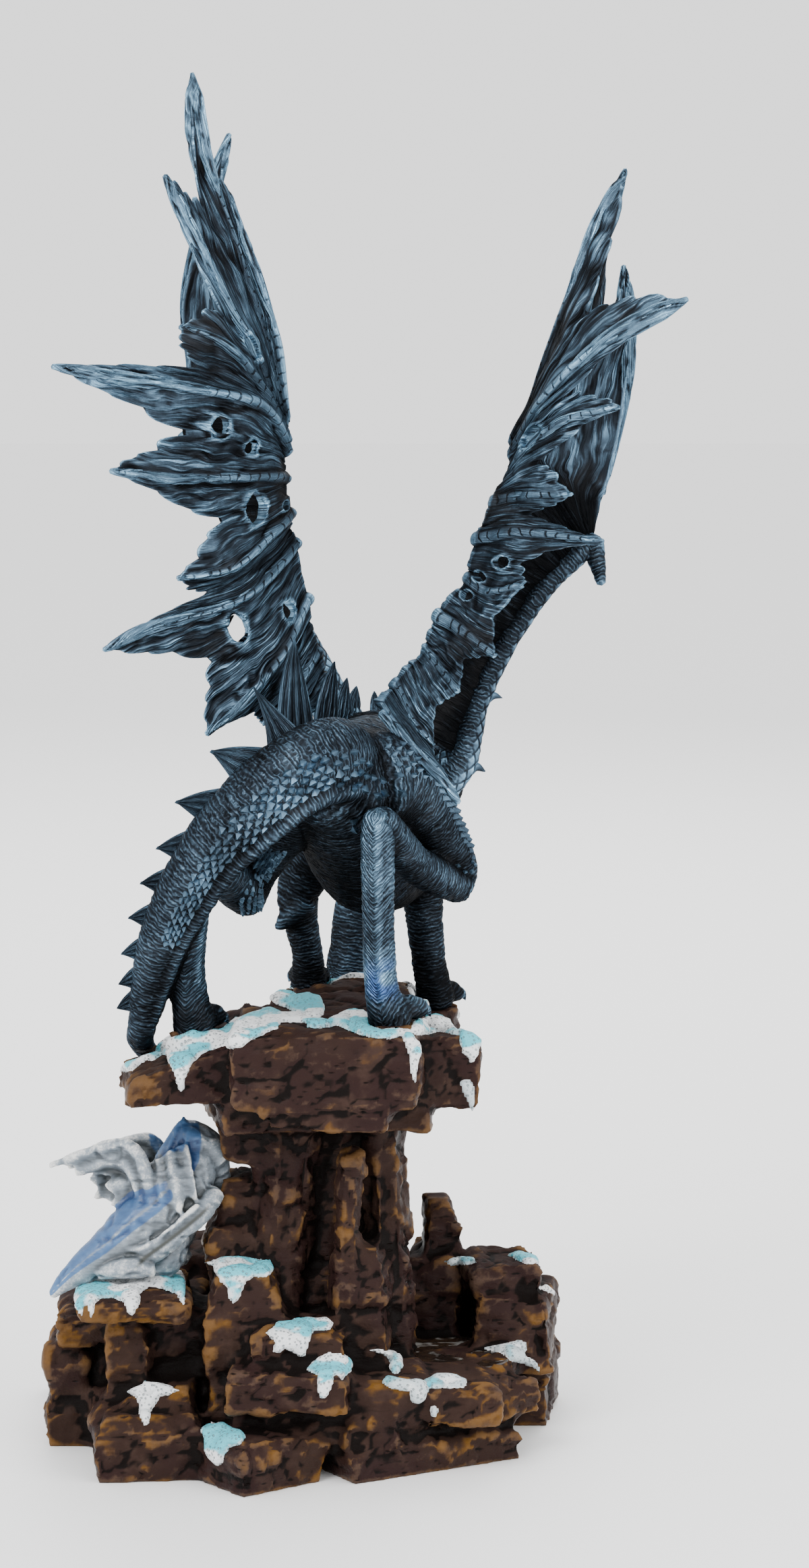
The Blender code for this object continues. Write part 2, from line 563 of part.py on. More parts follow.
def ribPoint(rib, t):
    points = np.array(rib, float)
    if t <= foldShare:
        u = t / foldShare
        a, b = points[0], points[1]
        c = points[2]
        ahead = (c - b) * 0.35
        h = u * u * (3 - 2 * u)
        return a * (1 - h) + b * h + (b - a) * (u - h) * 0.6 - ahead * u * u * (1 - u)
    spine = smoothPath([(*p, 0.0) for p in points[1:]], 41)
    place = (t - foldShare) / (1 - foldShare) * 40
    k = min(int(place), 39)
    return (spine[k] * (1 - place + k) + spine[k + 1] * (place - k))[:3]


def wingGrid(ribs, notches, columnsPerRib, rows):
    spines = []
    dense = 61
    for rib in ribs:
        spines.append([ribPoint(rib, t) for t in np.linspace(0, 1, dense)])
    spines = np.array(spines)
    columns = (len(ribs) - 1) * columnsPerRib + 1
    grid = np.zeros((columns, rows + 1, 3))
    share = np.zeros((columns, rows + 1))
    for i in range(columns):
        s = i / columnsPerRib
        k = min(int(s), len(ribs) - 2)
        f = s - k
        away = 1 - abs(2 * f - 1)
        reach = 1 - (1 - notches[k]) * away ** leafEdge
        for j in range(rows + 1):
            if j <= foldRows:
                t = foldShare * j / foldRows
            else:
                t = foldShare + (reach - foldShare) * (j - foldRows) / (rows - foldRows)
            place = t * (dense - 1)
            m = min(int(place), dense - 2)
            g = place - m
            left = spines[k, m] * (1 - g) + spines[k, m + 1] * g
            right = spines[k + 1, m] * (1 - g) + spines[k + 1, m + 1] * g
            grid[i, j] = left * (1 - f) + right * f
            share[i, j] = t
    return grid, share


def wingSheetSolid(ribs, notches, holes, columnsPerRib, rows):
    grid, share = wingGrid(ribs, notches, columnsPerRib, rows)
    columns = grid.shape[0]
    along = np.gradient(grid, axis=1)
    across = np.gradient(grid, axis=0)
    normals = np.cross(along, across)
    normals /= np.linalg.norm(normals, axis=2)[:, :, None] + 1e-9
    vertices = []
    for side in (1, -1):
        for i in range(columns):
            s = i / columnsPerRib
            onRib = abs(s - round(s)) < 0.01
            for j in range(rows + 1):
                t = share[i, j]
                thick = wingSheet + (wingRib if onRib else 0.0)
                thick *= 1.0 - 0.55 * max(0.0, (j / rows - 0.55) / 0.45)
                thick *= min(1.0, 0.35 + 1.3 * t / foldShare)
                vertices.append(grid[i, j] + side * normals[i, j] * thick * 0.5)
    layer = columns * (rows + 1)
    quads = {}
    for i in range(columns - 1):
        for j in range(rows):
            if (i, j) not in holes:
                quads[(i, j)] = True
    faces = []

    def index(side, i, j):
        return side * layer + i * (rows + 1) + j

    for (i, j) in quads:
        faces.append((index(0, i, j), index(0, i + 1, j), index(0, i + 1, j + 1), index(0, i, j + 1)))
        faces.append((index(1, i, j), index(1, i, j + 1), index(1, i + 1, j + 1), index(1, i + 1, j)))
        if (i - 1, j) not in quads:
            faces.append((index(0, i, j), index(0, i, j + 1), index(1, i, j + 1), index(1, i, j)))
        if (i + 1, j) not in quads:
            faces.append((index(0, i + 1, j), index(1, i + 1, j), index(1, i + 1, j + 1),
                          index(0, i + 1, j + 1)))
        if (i, j - 1) not in quads:
            faces.append((index(0, i, j), index(1, i, j), index(1, i + 1, j), index(0, i + 1, j)))
        if (i, j + 1) not in quads:
            faces.append((index(0, i, j + 1), index(0, i + 1, j + 1), index(1, i + 1, j + 1),
                          index(1, i, j + 1)))
    return vertices, faces


def buildWing(name, ribs, notches, holes, arm, spikes, body):
    sheet = wingSheetSolid(ribs, notches, holes, ribColumns, foldRows + outerRows)
    wing = makeObject(name, *sheet)
    work = bmesh.new()
    work.from_mesh(wing.data)
    loose = [v for v in work.verts if not v.link_faces]
    bmesh.ops.delete(work, geom=loose, context="VERTS")
    work.to_mesh(wing.data)
    work.free()
    extras = [makeObject("arm", *tube(arm, 12, 8, (0.0, 1.0, 0.0)))]
    for base, tip in spikes:
        extras.append(makeObject("spike", *fin(base, tip, (0.0, 0.3, 1.0), 3.2, 2.0)))
    combine(wing, extras, "UNION")
    grown = grownCopy(body, fitGap)
    combine(wing, [grown], "DIFFERENCE")
    keepLargest(wing)
    return cleanSolid(wing)


# Hatchling
hatchlingRows = [(-82, -34, 55, 1.5), (-76, -33, 60.5, 3.8), (-70, -31, 64.5, 5.6),
                 (-63, -29, 69, 7.4), (-55.5, -27, 75, 9), (-47, -25, 81, 9.8), (-40, -22, 87.5, 9.2),
                 (-35, -19, 95, 8), (-34.5, -17, 101.5, 6.5)]


def buildHatchling():
    shells = [
        tube(hatchlingRows, 16, 12, (0.3, 1.0, 0.0)),
        tube([(-41, -18, 103, 4.5), (-37, -17, 104, 7.2), (-32, -16, 101, 7.2), (-28.5, -15.5, 95.5, 5.6),
              (-27, -15, 90, 4.2), (-26.8, -15, 85, 2.6)], 9, 10, (0.0, 1.0, 0.0)),
        tube([(-52, -38, 70, 7), (-56, -39, 65, 6), (-50, -40, 61.5, 4)], 5, 8, (0.0, 1.0, 0.0)),
        tube([(-56, -14, 70, 6), (-58, -13, 65, 5), (-52, -12, 61.5, 4)], 5, 8, (0.0, 1.0, 0.0)),
        tube([(-43, -28, 82, 5), (-39, -30, 74, 4.4), (-42, -30, 66, 3.6), (-40, -31, 61.5, 3.6)],
             7, 8, (0.0, 1.0, 0.0)),
        tube([(-42, -14, 82, 5), (-38, -12, 74, 4.4), (-41, -12, 66, 3.6), (-39, -12, 61.5, 3.6)],
             7, 8, (0.0, 1.0, 0.0)),
        tube([(-55, -26, 66, 9), (-46, -24, 66, 8), (-42, -22, 74, 6)], 5, 10, (0.0, 1.0, 0.0)),
        tube([(-50, -30, 84, 3), (-57, -26, 93, 2.6), (-64, -21, 102, 2.4)], 6, 6, (0.0, 1.0, 0.0)),
        tube([(-48, -16, 84, 3), (-52, -10, 92, 2.6), (-56, -4, 100, 2.4)], 6, 6, (0.0, 1.0, 0.0)),
    ]
    skin = [
        [(-50, -31, 83), (-64, -21, 102.5), (-74, -19, 99), (-84, -20, 95)],
        [(-52, -31, 80), (-63, -24, 92), (-70, -22, 90), (-77, -22, 87)],
        [(-55, -31, 77), (-62, -26, 83), (-67, -25, 81), (-72, -26, 78)],
        [(-58, -31, 73), (-62, -28, 76), (-64, -27, 75), (-66, -28, 73)],
    ]
    far = [[(x + 6, -44 - y + 2, z - 1) for (x, y, z) in row] for row in skin]
    sheets = []
    for rows in (skin, far):
        vertices, faces = wingSheetSolid(rows, [0.7, 0.72, 0.75], [], 3, 6)
        sheets.append((vertices, faces))
    crest = [fin((-40, -18, 101), (-40, -17, 113), (1, 0, 0.2), 3.4, 2.2),
             fin((-43, -19, 98), (-46, -18, 109), (1, 0, 0.6), 3.4, 2.0),
             fin((-45, -21, 92), (-51, -21, 100), (1, 0, 0.8), 3.4, 2.0)]
    item = joinShells("hatchling", shells + sheets + crest)
    # The shells are drawn 54 mm tall on a slab 59 mm up, and are set to their own height and slab here.
    foot = Vector((-54.0, -26.0, 59.0)) * metre
    place = Vector((-54.0, -26.0, hatchlingSlabTop)) * metre
    for vertex in item.data.vertices:
        vertex.co = place + (vertex.co - foot) * (hatchlingHeight / 54.0)
    remeshed(item, hatchlingVoxel, 2, hatchlingTriangles)
    room = [makeObject("room", *prism((-56, -26), 60.0, hatchlingSlabTop - 30.0,
                                      hatchlingSlabTop + fitGap, 12))]
    combine(item, room, "DIFFERENCE")
    keepLargest(item)
    return cleanSolid(item)


clearScene()
materials = {
    "dragon_paint": makeMaterial("dragon_paint", (0.035, 0.075, 0.12), 0.35, 0.55),
    "rock_paint": makeMaterial("rock_paint", (0.13, 0.075, 0.055), 0.55, 0.0),
    "hatchling_paint": makeMaterial("hatchling_paint", (0.62, 0.68, 0.74), 0.35, 0.0),
}
rock = buildRock()
body = buildBody()
hatchling = buildHatchling()
wingLeft = buildWing("wing_left", leftRibs, leftNotches, leftHoles, leftArm, leftSpikes, body)
wingRight = buildWing("wing_right", rightRibs, rightNotches, rightHoles, rightArm, rightSpikes, body)
combine(rock, [grownCopy(body, fitGap), grownCopy(hatchling, fitGap)], "DIFFERENCE")
keepLargest(rock)
cleanSolid(rock, rockFlatness)
for item, slot in ((rock, "rock_paint"), (body, "dragon_paint"), (wingLeft, "dragon_paint"),
                   (wingRight, "dragon_paint"), (hatchling, "hatchling_paint")):
    item.data.materials.clear()
    item.data.materials.append(materials[slot])
    for face in item.data.polygons:
        face.material_index = 0
        face.use_smooth = False
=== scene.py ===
# Dragon statue: the painted resin figure on its snowy rock, modelled over the CAD frame.
# Shapes are drawn in millimetres in the frame's own axes and become metres when a mesh is made.
import bpy
import bmesh
import itertools
import math
import numpy as np
from mathutils import Matrix, Vector
from mathutils.bvhtree import BVHTree


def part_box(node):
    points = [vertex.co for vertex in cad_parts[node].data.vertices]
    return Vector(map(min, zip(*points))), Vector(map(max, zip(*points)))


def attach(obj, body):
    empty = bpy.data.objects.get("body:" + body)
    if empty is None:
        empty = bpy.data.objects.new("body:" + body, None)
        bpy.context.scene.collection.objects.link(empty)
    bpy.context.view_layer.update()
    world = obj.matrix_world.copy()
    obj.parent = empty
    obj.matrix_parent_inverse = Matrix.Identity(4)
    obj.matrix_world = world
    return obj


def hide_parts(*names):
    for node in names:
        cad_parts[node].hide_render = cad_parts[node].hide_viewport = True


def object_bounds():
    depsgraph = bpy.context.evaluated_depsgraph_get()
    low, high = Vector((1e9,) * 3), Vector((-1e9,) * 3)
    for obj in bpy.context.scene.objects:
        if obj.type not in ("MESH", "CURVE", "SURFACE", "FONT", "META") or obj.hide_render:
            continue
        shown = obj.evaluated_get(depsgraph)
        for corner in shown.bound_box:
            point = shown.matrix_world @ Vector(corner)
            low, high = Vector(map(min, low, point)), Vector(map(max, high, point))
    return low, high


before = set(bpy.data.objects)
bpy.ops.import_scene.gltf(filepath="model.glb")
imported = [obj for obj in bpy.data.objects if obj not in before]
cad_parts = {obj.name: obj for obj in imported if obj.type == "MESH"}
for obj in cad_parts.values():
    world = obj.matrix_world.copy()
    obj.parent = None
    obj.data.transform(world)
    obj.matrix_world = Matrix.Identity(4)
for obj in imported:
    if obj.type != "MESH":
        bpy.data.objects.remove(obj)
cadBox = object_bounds()
drawnHeight = 0.4582        # metres, with the shapes below at their own size
metre = 0.001 * cadBox[1].z / drawnHeight
rng = np.random.default_rng(11)

# The photograph's camera: its place in millimetres, how far it looks down, its focal length, the
# picture's middle and height in pixels, and a pixel's size at the statue in millimetres
photo = {
    "eye": (35.4, -1500.0, 420.0),
    "pitch": math.radians(7.52),
    "focal": 6696.0,
    "middle": (600, 1163),
    "height": 2326.0,
    "pixel": 0.224,
}


# Arithmetic on rows of points
def unit(vectors, least=0.0):
    return vectors / (np.linalg.norm(vectors, axis=-1, keepdims=True) + least)


def lengthsAlong(points):
    steps = np.linalg.norm(np.diff(points, axis=0), axis=1)
    return np.concatenate([[0], np.cumsum(steps)])


def eased(value, low, high):
    share = np.clip((value - low) / (high - low), 0.0, 1.0)
    return share * share * (3 - 2 * share)


# Meshes
def makeObject(name, vertices, faces):
    mesh = bpy.data.meshes.new(name)
    points = np.asarray(vertices, float) * metre
    mesh.from_pydata(points.tolist(), [], [tuple(int(i) for i in face) for face in faces])
    item = bpy.data.objects.new(name, mesh)
    bpy.context.scene.collection.objects.link(item)
    return item


def turnOutwards(item, merge=0.0):
    work = bmesh.new()
    work.from_mesh(item.data)
    loose = [v for v in work.verts if not v.link_faces]
    bmesh.ops.delete(work, geom=loose, context="VERTS")
    if merge > 0.0:
        bmesh.ops.remove_doubles(work, verts=work.verts, dist=merge * metre)
    bmesh.ops.recalc_face_normals(work, faces=work.faces)
    work.to_mesh(item.data)
    work.free()


def bake(item):
    bpy.context.view_layer.update()
    graph = bpy.context.evaluated_depsgraph_get()
    mesh = bpy.data.meshes.new_from_object(item.evaluated_get(graph))
    item.modifiers.clear()
    item.data = mesh


def remesh(item, voxel, smoothing):
    grid = item.modifiers.new("remesh", "REMESH")
    grid.mode = "VOXEL"
    grid.voxel_size = voxel * metre
    smooth = item.modifiers.new("smooth", "SMOOTH")
    smooth.factor = 0.5
    smooth.iterations = smoothing
    bake(item)


def places(item):
    points = np.zeros(len(item.data.vertices) * 3)
    item.data.vertices.foreach_get("co", points)
    return points.reshape(-1, 3) / metre


def normals(item):
    values = np.zeros(len(item.data.vertices) * 3)
    item.data.vertex_normals.foreach_get("vector", values)
    return values.reshape(-1, 3)


def moveTo(item, points):
    item.data.vertices.foreach_set("co", (points * metre).ravel())
    item.data.update()


def push(item, move):
    # Moves each vertex along its normal.
    moveTo(item, places(item) + normals(item) * move[:, None])


def averaged(item, values, rounds):
    # Each round moves every vertex's value halfway to the mean of its neighbours.
    ends = np.zeros(len(item.data.edges) * 2, np.int32)
    item.data.edges.foreach_get("vertices", ends)
    ends = ends.reshape(-1, 2)
    size = len(item.data.vertices)
    count = np.bincount(ends.ravel(), minlength=size) + 1e-9
    flat = values.reshape(size, -1).astype(float)
    for _ in range(rounds):
        total = np.empty_like(flat)
        for axis in range(flat.shape[1]):
            column = flat[:, axis]
            total[:, axis] = np.bincount(ends[:, 0], column[ends[:, 1]], size)
            total[:, axis] += np.bincount(ends[:, 1], column[ends[:, 0]], size)
        flat = 0.5 * flat + 0.5 * total / count[:, None]
    return flat.reshape(values.shape)


def proudness(item, rounds, scale):
    # How far a vertex stands out of its smoothed surroundings, as -1 to 1.
    points = places(item)
    gap = points - averaged(item, points, rounds)
    return np.clip((gap * normals(item)).sum(axis=1) / scale, -1.0, 1.0)


def store(item, **layers):
    # Attributes that the materials read. A plain number fills its whole layer.
    size = len(item.data.vertices)
    for name, values in layers.items():
        values = np.asarray(values, np.float32)
        kind, field = ("FLOAT_VECTOR", "vector") if values.ndim == 2 else ("FLOAT", "value")
        if values.ndim == 0:
            values = np.full(size, values, np.float32)
        layer = item.data.attributes.new(name, kind, "POINT")
        layer.data.foreach_set(field, values.ravel())


def openness(item, reach, rays=8, stride=2):
    # Share of short rays that leave the surface freely, so that hollows get a low value.
    # Only every second vertex is measured, so the result is averaged before its use.
    lift = 0.6
    lean = 1.05
    points = places(item)
    facing = normals(item)
    tree = BVHTree.FromObject(item, bpy.context.evaluated_depsgraph_get())
    steps = unit(rng.normal(size=(rays, 3)))
    free = np.ones(len(points))
    for index in range(0, len(points), stride):
        clear = 0
        start = Vector((points[index] + facing[index] * lift) * metre)
        for step in steps:
            way = step + facing[index] * lean
            hit = tree.ray_cast(start, Vector(way), reach * metre)
            clear += hit[0] is None
        free[index] = clear / rays
    return free


# Repeatable noise on points in millimetres
def hashed(cells, seed):
    value = cells[..., 0] * 374761393 + cells[..., 1] * 668265263 + cells[..., 2] * 1440662683
    value = (value + seed * 1274126177) & 0xFFFFFFFF
    value = ((value ^ (value >> 13)) * 1103515245) & 0xFFFFFFFF
    return ((value ^ (value >> 16)) & 0xFFFFFF) / float(0xFFFFFF)


def softNoise(points, size, seed):
    scaled = points / np.asarray(size, float)
    base = np.floor(scaled).astype(np.int64)
    part = scaled - base
    part = part * part * (3 - 2 * part)
    total = np.zeros(len(points))
    for corner in itertools.product((0, 1), repeat=3):
        weight = np.prod(np.where(np.array(corner) == 1, part, 1 - part), axis=1)
        total += weight * hashed(base + np.array(corner), seed)
    return total * 2 - 1


def layeredNoise(points, size, layers, seed):
    total = np.zeros(len(points))
    for layer in range(layers):
        total += softNoise(points, np.asarray(size, float) / 2 ** layer, seed + layer) / 2 ** layer
    return total / (2 - 2 ** (1 - layers))


def ridgeNoise(points, size, layers, seed):
    # Sharp crests at 1 falling to round hollows at 0.
    total = np.zeros(len(points))
    for layer in range(layers):
        wave = softNoise(points, np.asarray(size, float) / 2 ** layer, seed + layer)
        total += (1 - np.abs(wave)) / 2 ** layer
    return total / (2 - 2 ** (1 - layers))


def cellNoise(points, size, seed):
    # Distances to the nearest and second nearest of one scattered point per cell, in cells.
    scaled = points / np.asarray(size, float)
    base = np.floor(scaled).astype(np.int64)
    first = np.full(len(points), 9.0)
    second = np.full(len(points), 9.0)
    mark = np.zeros(len(points))
    for step in itertools.product((-1, 0, 1), repeat=3):
        cell = base + np.array(step)
        spot = cell + np.stack([hashed(cell, seed + k) for k in range(3)], axis=1)
        gap = np.linalg.norm(scaled - spot, axis=1)
        nearer = gap < first
        second = np.where(nearer, first, np.minimum(second, gap))
        mark = np.where(nearer, hashed(cell, seed + 3), mark)
        first = np.where(nearer, gap, first)
    return first, second, mark


# Tubes along smooth paths
def smoothPath(rows, count):
    points = np.array(rows, float)
    lengths = np.linalg.norm(np.diff(points[:, :3], axis=0), axis=1)
    marks = np.concatenate([[0.0], np.cumsum(np.sqrt(lengths))])
    padded = np.vstack([2 * points[0] - points[1], points, 2 * points[-1] - points[-2]])
    result = []
    for mark in np.linspace(0.0, marks[-1], count):
        k = min(int(np.searchsorted(marks, mark, side="right")) - 1, len(points) - 2)
        u = (mark - marks[k]) / (marks[k + 1] - marks[k])
        a, b, c, d = padded[k], padded[k + 1], padded[k + 2], padded[k + 3]
        value = 0.5 * (2 * b + (c - a) * u + (2 * a - 5 * b + 4 * c - d) * u ** 2
                       + (3 * b - a - 3 * c + d) * u ** 3)
        value[3:] = np.clip(value[3:], np.minimum(b, c)[3:], np.maximum(b, c)[3:])
        result.append(value)
    return np.array(result)


def limbFrames(rows, rings, sideAxis):
    full = [row if len(row) == 5 else (*row, row[3]) for row in rows]
    path = smoothPath(full, rings)
    axis = np.array(sideAxis, float)
    along = unit(np.gradient(path[:, :3], axis=0))
    side = unit(axis - (along @ axis)[:, None] * along)
    up = np.cross(side, along)
    return path, along, side, up


def tube(rows, rings, sides, sideAxis=(1.0, 0.0, 0.0)):
    # A closed tube along rows of x, y, z, half width and, where it isn't round, half height.
    path, along, side, up = limbFrames(rows, rings, sideAxis)
    angles = np.linspace(0, 2 * math.pi, sides, endpoint=False)
    ring = (side[:, None, :] * path[:, 3, None, None] * np.cos(angles)[None, :, None]
            + up[:, None, :] * path[:, 4, None, None] * np.sin(angles)[None, :, None])
    body = (path[:, None, :3] + ring).reshape(-1, 3)
    first = path[0, :3] - along[0] * path[0, 3] * 0.5
    last = path[-1, :3] + along[-1] * path[-1, 3] * 0.5
    vertices = np.vstack([body, first, last])
    faces = []
    for r in range(rings - 1):
        for j in range(sides):
            k = (j + 1) % sides
            faces.append((r * sides + j, (r + 1) * sides + j, (r + 1) * sides + k, r * sides + k))
    for j in range(sides):
        k = (j + 1) % sides
        faces.append((rings * sides, j, k))
        faces.append((rings * sides + 1, (rings - 1) * sides + k, (rings - 1) * sides + j))
    return vertices, faces


def tubeFlow(rows, rings, sides):
    # Distances round and along a tube, for patterns that follow it.
    full = np.array([row[:4] for row in rows], float)
    path = smoothPath(full, rings)
    length = lengthsAlong(path[:, :3])
    angles = np.linspace(-math.pi, math.pi, sides, endpoint=False)
    around = angles[None, :] * path[:, 3:4]
    flow = np.stack([around, np.broadcast_to(length[:, None], around.shape), around * 0], axis=2)
    ends = np.array([[0, 0, 0], [0, length[-1], 0]], float)
    return np.vstack([flow.reshape(-1, 3), ends])


def aroundPath(points, path, along, radii):
    # For each point the path's nearest ring, its distance in radii, how far ahead of that ring
    # it lies, and the direction straight out from the path.
    nearest = np.full(len(points), 1e9)
    ring = np.zeros(len(points), int)
    for index, radius in enumerate(radii):
        gap = np.linalg.norm(points - path[index, :3], axis=1) / radius
        closer = gap < nearest
        nearest[closer] = gap[closer]
        ring[closer] = index
    offset = points - path[ring, :3]
    ahead = (offset * along[ring]).sum(axis=1)
    radial = unit(offset - ahead[:, None] * along[ring], 1e-9)
    return ring, nearest, ahead, radial


# Sheets from grids of points
def betweenRibs(spines, s, t):
    # The skin at places s across the ribs and shares t along them, and how far apart the ribs are.
    last = spines.shape[1] - 1
    k = np.minimum(s.astype(int), len(spines) - 2)
    f = (s - k)[:, None, None]
    m = np.minimum((t * last).astype(int), last - 1)
    g = (t * last - m)[:, :, None]
    left, right = (spines[k[:, None] + n, m] * (1 - g) + spines[k[:, None] + n, m + 1] * g
                   for n in (0, 1))
    return left * (1 - f) + right * f, np.linalg.norm(right - left, axis=2)


def closedSheet(front, back, keep=None):
    # One closed sheet from its two sides, with walls round its border and its holes.
    columns, rows = front.shape[:2]
    size = columns * rows
    if keep is None:
        keep = np.ones((columns - 1, rows - 1), bool)
    framed = np.pad(keep, 1)
    faces = []
    for i, q in np.argwhere(keep):
        a = i * rows + q
        b = a + rows
        c = b + 1
        d = a + 1
        faces.append((a, b, c, d))
        faces.append((size + a, size + d, size + c, size + b))
        for beside, first, second in (((i, q + 1), a, d), ((i + 2, q + 1), c, b),
                                      ((i + 1, q), b, a), ((i + 1, q + 2), d, c)):
            if not framed[beside]:
                faces.append((first, second, size + second, size + first))
    return np.vstack([front.reshape(-1, 3), back.reshape(-1, 3)]), faces


def join(shells):
    vertices = []
    faces = []
    start = 0
    for points, polygons in shells:
        vertices.append(np.asarray(points, float))
        faces.extend([tuple(i + start for i in face) for face in polygons])
        start += len(points)
    return np.vstack(vertices), faces


# Material formulas
class Value:
    # A shader socket that takes part in arithmetic.
    def __init__(self, recipe, socket):
        self.recipe = recipe
        self.socket = socket

    def math(self, operation, other=0.0, swapped=False):
        first, second = (other, self) if swapped else (self, other)
        return self.recipe.node("ShaderNodeMath", {0: first, 1: second}, operation=operation)

    def __add__(self, other):
        return self.math("ADD", other)

    def __radd__(self, other):
        return self.math("ADD", other, True)

    def __sub__(self, other):
        return self.math("SUBTRACT", other)

    def __rsub__(self, other):
        return self.math("SUBTRACT", other, True)

    def __mul__(self, other):
        return self.math("MULTIPLY", other)

    def __rmul__(self, other):
        return self.math("MULTIPLY", other, True)

    def __truediv__(self, other):
        return self.math("DIVIDE", other)

    def __rtruediv__(self, other):
        return self.math("DIVIDE", other, True)

    def sine(self):
        return self.math("SINE")

    def fraction(self):
        return self.math("FRACT")

    def size(self):
        return self.math("ABSOLUTE")

    def least(self, other):
        return self.math("MINIMUM", other)

    def most(self, other):
        return self.math("MAXIMUM", other)

    def eased(self, low, high, bottom=0.0, top=1.0):
        ends = {1: low, 2: high, 3: bottom, 4: top}
        return self.recipe.node("ShaderNodeMapRange", {0: self, **ends}, interpolation_type="SMOOTHSTEP")


class NodeTree:
    # A node tree whose nodes all come from one method.
    def __init__(self, tree):
        self.tree = tree

    def node(self, kind, inputs=None, output=0, **settings):
        made = self.tree.nodes.new(kind)
        for key, setting in settings.items():
            setattr(made, key, setting)
        for key, value in (inputs or {}).items():
            if isinstance(value, Value):
                self.tree.links.new(value.socket, made.inputs[key])
            else:
                made.inputs[key].default_value = value
        return Value(self, made.outputs[output]) if len(made.outputs) else None


class Recipe(NodeTree):
    # One material's nodes, written as formulas.
    def __init__(self, name):
        self.material = bpy.data.materials.new(name)
        self.material.use_nodes = True
        super().__init__(self.material.node_tree)
        self.tree.nodes.clear()
        self.place = self.node("ShaderNodeTexCoord", output="Object")

    def attribute(self, name, output="Fac"):
        return self.node("ShaderNodeAttribute", output=output, attribute_name=name)

    def part(self, vector, axis):
        return self.node("ShaderNodeSeparateXYZ", {0: vector}, output=axis)

    def vector(self, x, y, z=0.0):
        return self.node("ShaderNodeCombineXYZ", {0: x, 1: y, 2: z})

    def noise(self, vector, scale, detail=2.0, roughness=0.5):
        # On Object coordinates the scale counts bumps per metre.
        values = {"Vector": vector, "Scale": scale, "Detail": detail, "Roughness": roughness}
        return self.node("ShaderNodeTexNoise", values, noise_dimensions="3D")

    def cells(self, vector, scale):
        values = {"Vector": vector, "Scale": scale}
        return self.node("ShaderNodeTexVoronoi", values, "Distance", feature="F1")

    def mix(self, factor, first, second):
        values = {0: factor, 6: self.colour(first), 7: self.colour(second)}
        return self.node("ShaderNodeMix", values, output=2, data_type="RGBA")

    def colour(self, value):
        return value if isinstance(value, Value) else (*value, 1.0)

    def finish(self, colour, roughness, metallic, height, depth, specular=0.5, edge=1.0):
        bump = self.node("ShaderNodeBump", {"Height": height, "Distance": depth * metre})
        inputs = {"Base Color": colour, "Roughness": roughness, "Metallic": metallic, "Normal": bump,
                  "Specular IOR Level": specular, "Specular Tint": (edge, edge, edge, 1.0)}
        self.node("ShaderNodeOutputMaterial", {"Surface": self.node("ShaderNodeBsdfPrincipled", inputs)})
        return self.material


# Dragon paint: near-black grooves, slate faces and steel-blue metallic on what stands proud
dragonPaint = {
    "groove": (0.0040, 0.0045, 0.0055),
    "shade": (0.015, 0.020, 0.027),
    "slate": (0.048, 0.075, 0.106),
    "bright": (0.135, 0.235, 0.335),
    "glint": (0.28, 0.50, 0.68),
    "dust": (0.032, 0.032, 0.034),
    "cobalt": (0.030, 0.075, 0.26),
    # how proud the surface stands where each tone begins and where it is full
    "shadeFrom": (0.12, 0.40),
    "slateFrom": (0.36, 0.60),
    "dustUntil": (0.50, 0.75),
    "brightFrom": (0.54, 0.88),
    "glintFrom": (0.84, 1.12),
    "cobaltFrom": (0.30, 0.75),
    # the same, then the value in grooves and on crests
    "metal": (0.25, 0.70, 0.84, 0.92),
    "roughness": (0.20, 0.90, 0.56, 0.34),
    "specular": 0.3,
    "edgeTint": 0.4,
    "ringPitch": 1.35,
    "scaleLength": 5.2,
    "scaleWidth": 4.4,
}


def dragonColours(recipe, crest, grain, dusty, cobalt=None):
    look = dragonPaint
    tone = recipe.mix(crest.eased(*look["shadeFrom"]), look["groove"], look["shade"])
    tone = recipe.mix(crest.eased(*look["slateFrom"]), tone, look["slate"])
    tone = recipe.mix(dusty * (1.0 - crest.eased(*look["dustUntil"])), tone, look["dust"])
    tone = recipe.mix(crest.eased(*look["brightFrom"]), tone, look["bright"])
    tone = recipe.mix((crest + grain * 0.25).eased(*look["glintFrom"]), tone, look["glint"])
    if cobalt is not None:
        tone = recipe.mix(cobalt * crest.eased(*look["cobaltFrom"]), tone, look["cobalt"])
    rough = crest.eased(*look["roughness"]) + grain * 0.06
    return tone, rough, crest.eased(*look["metal"])


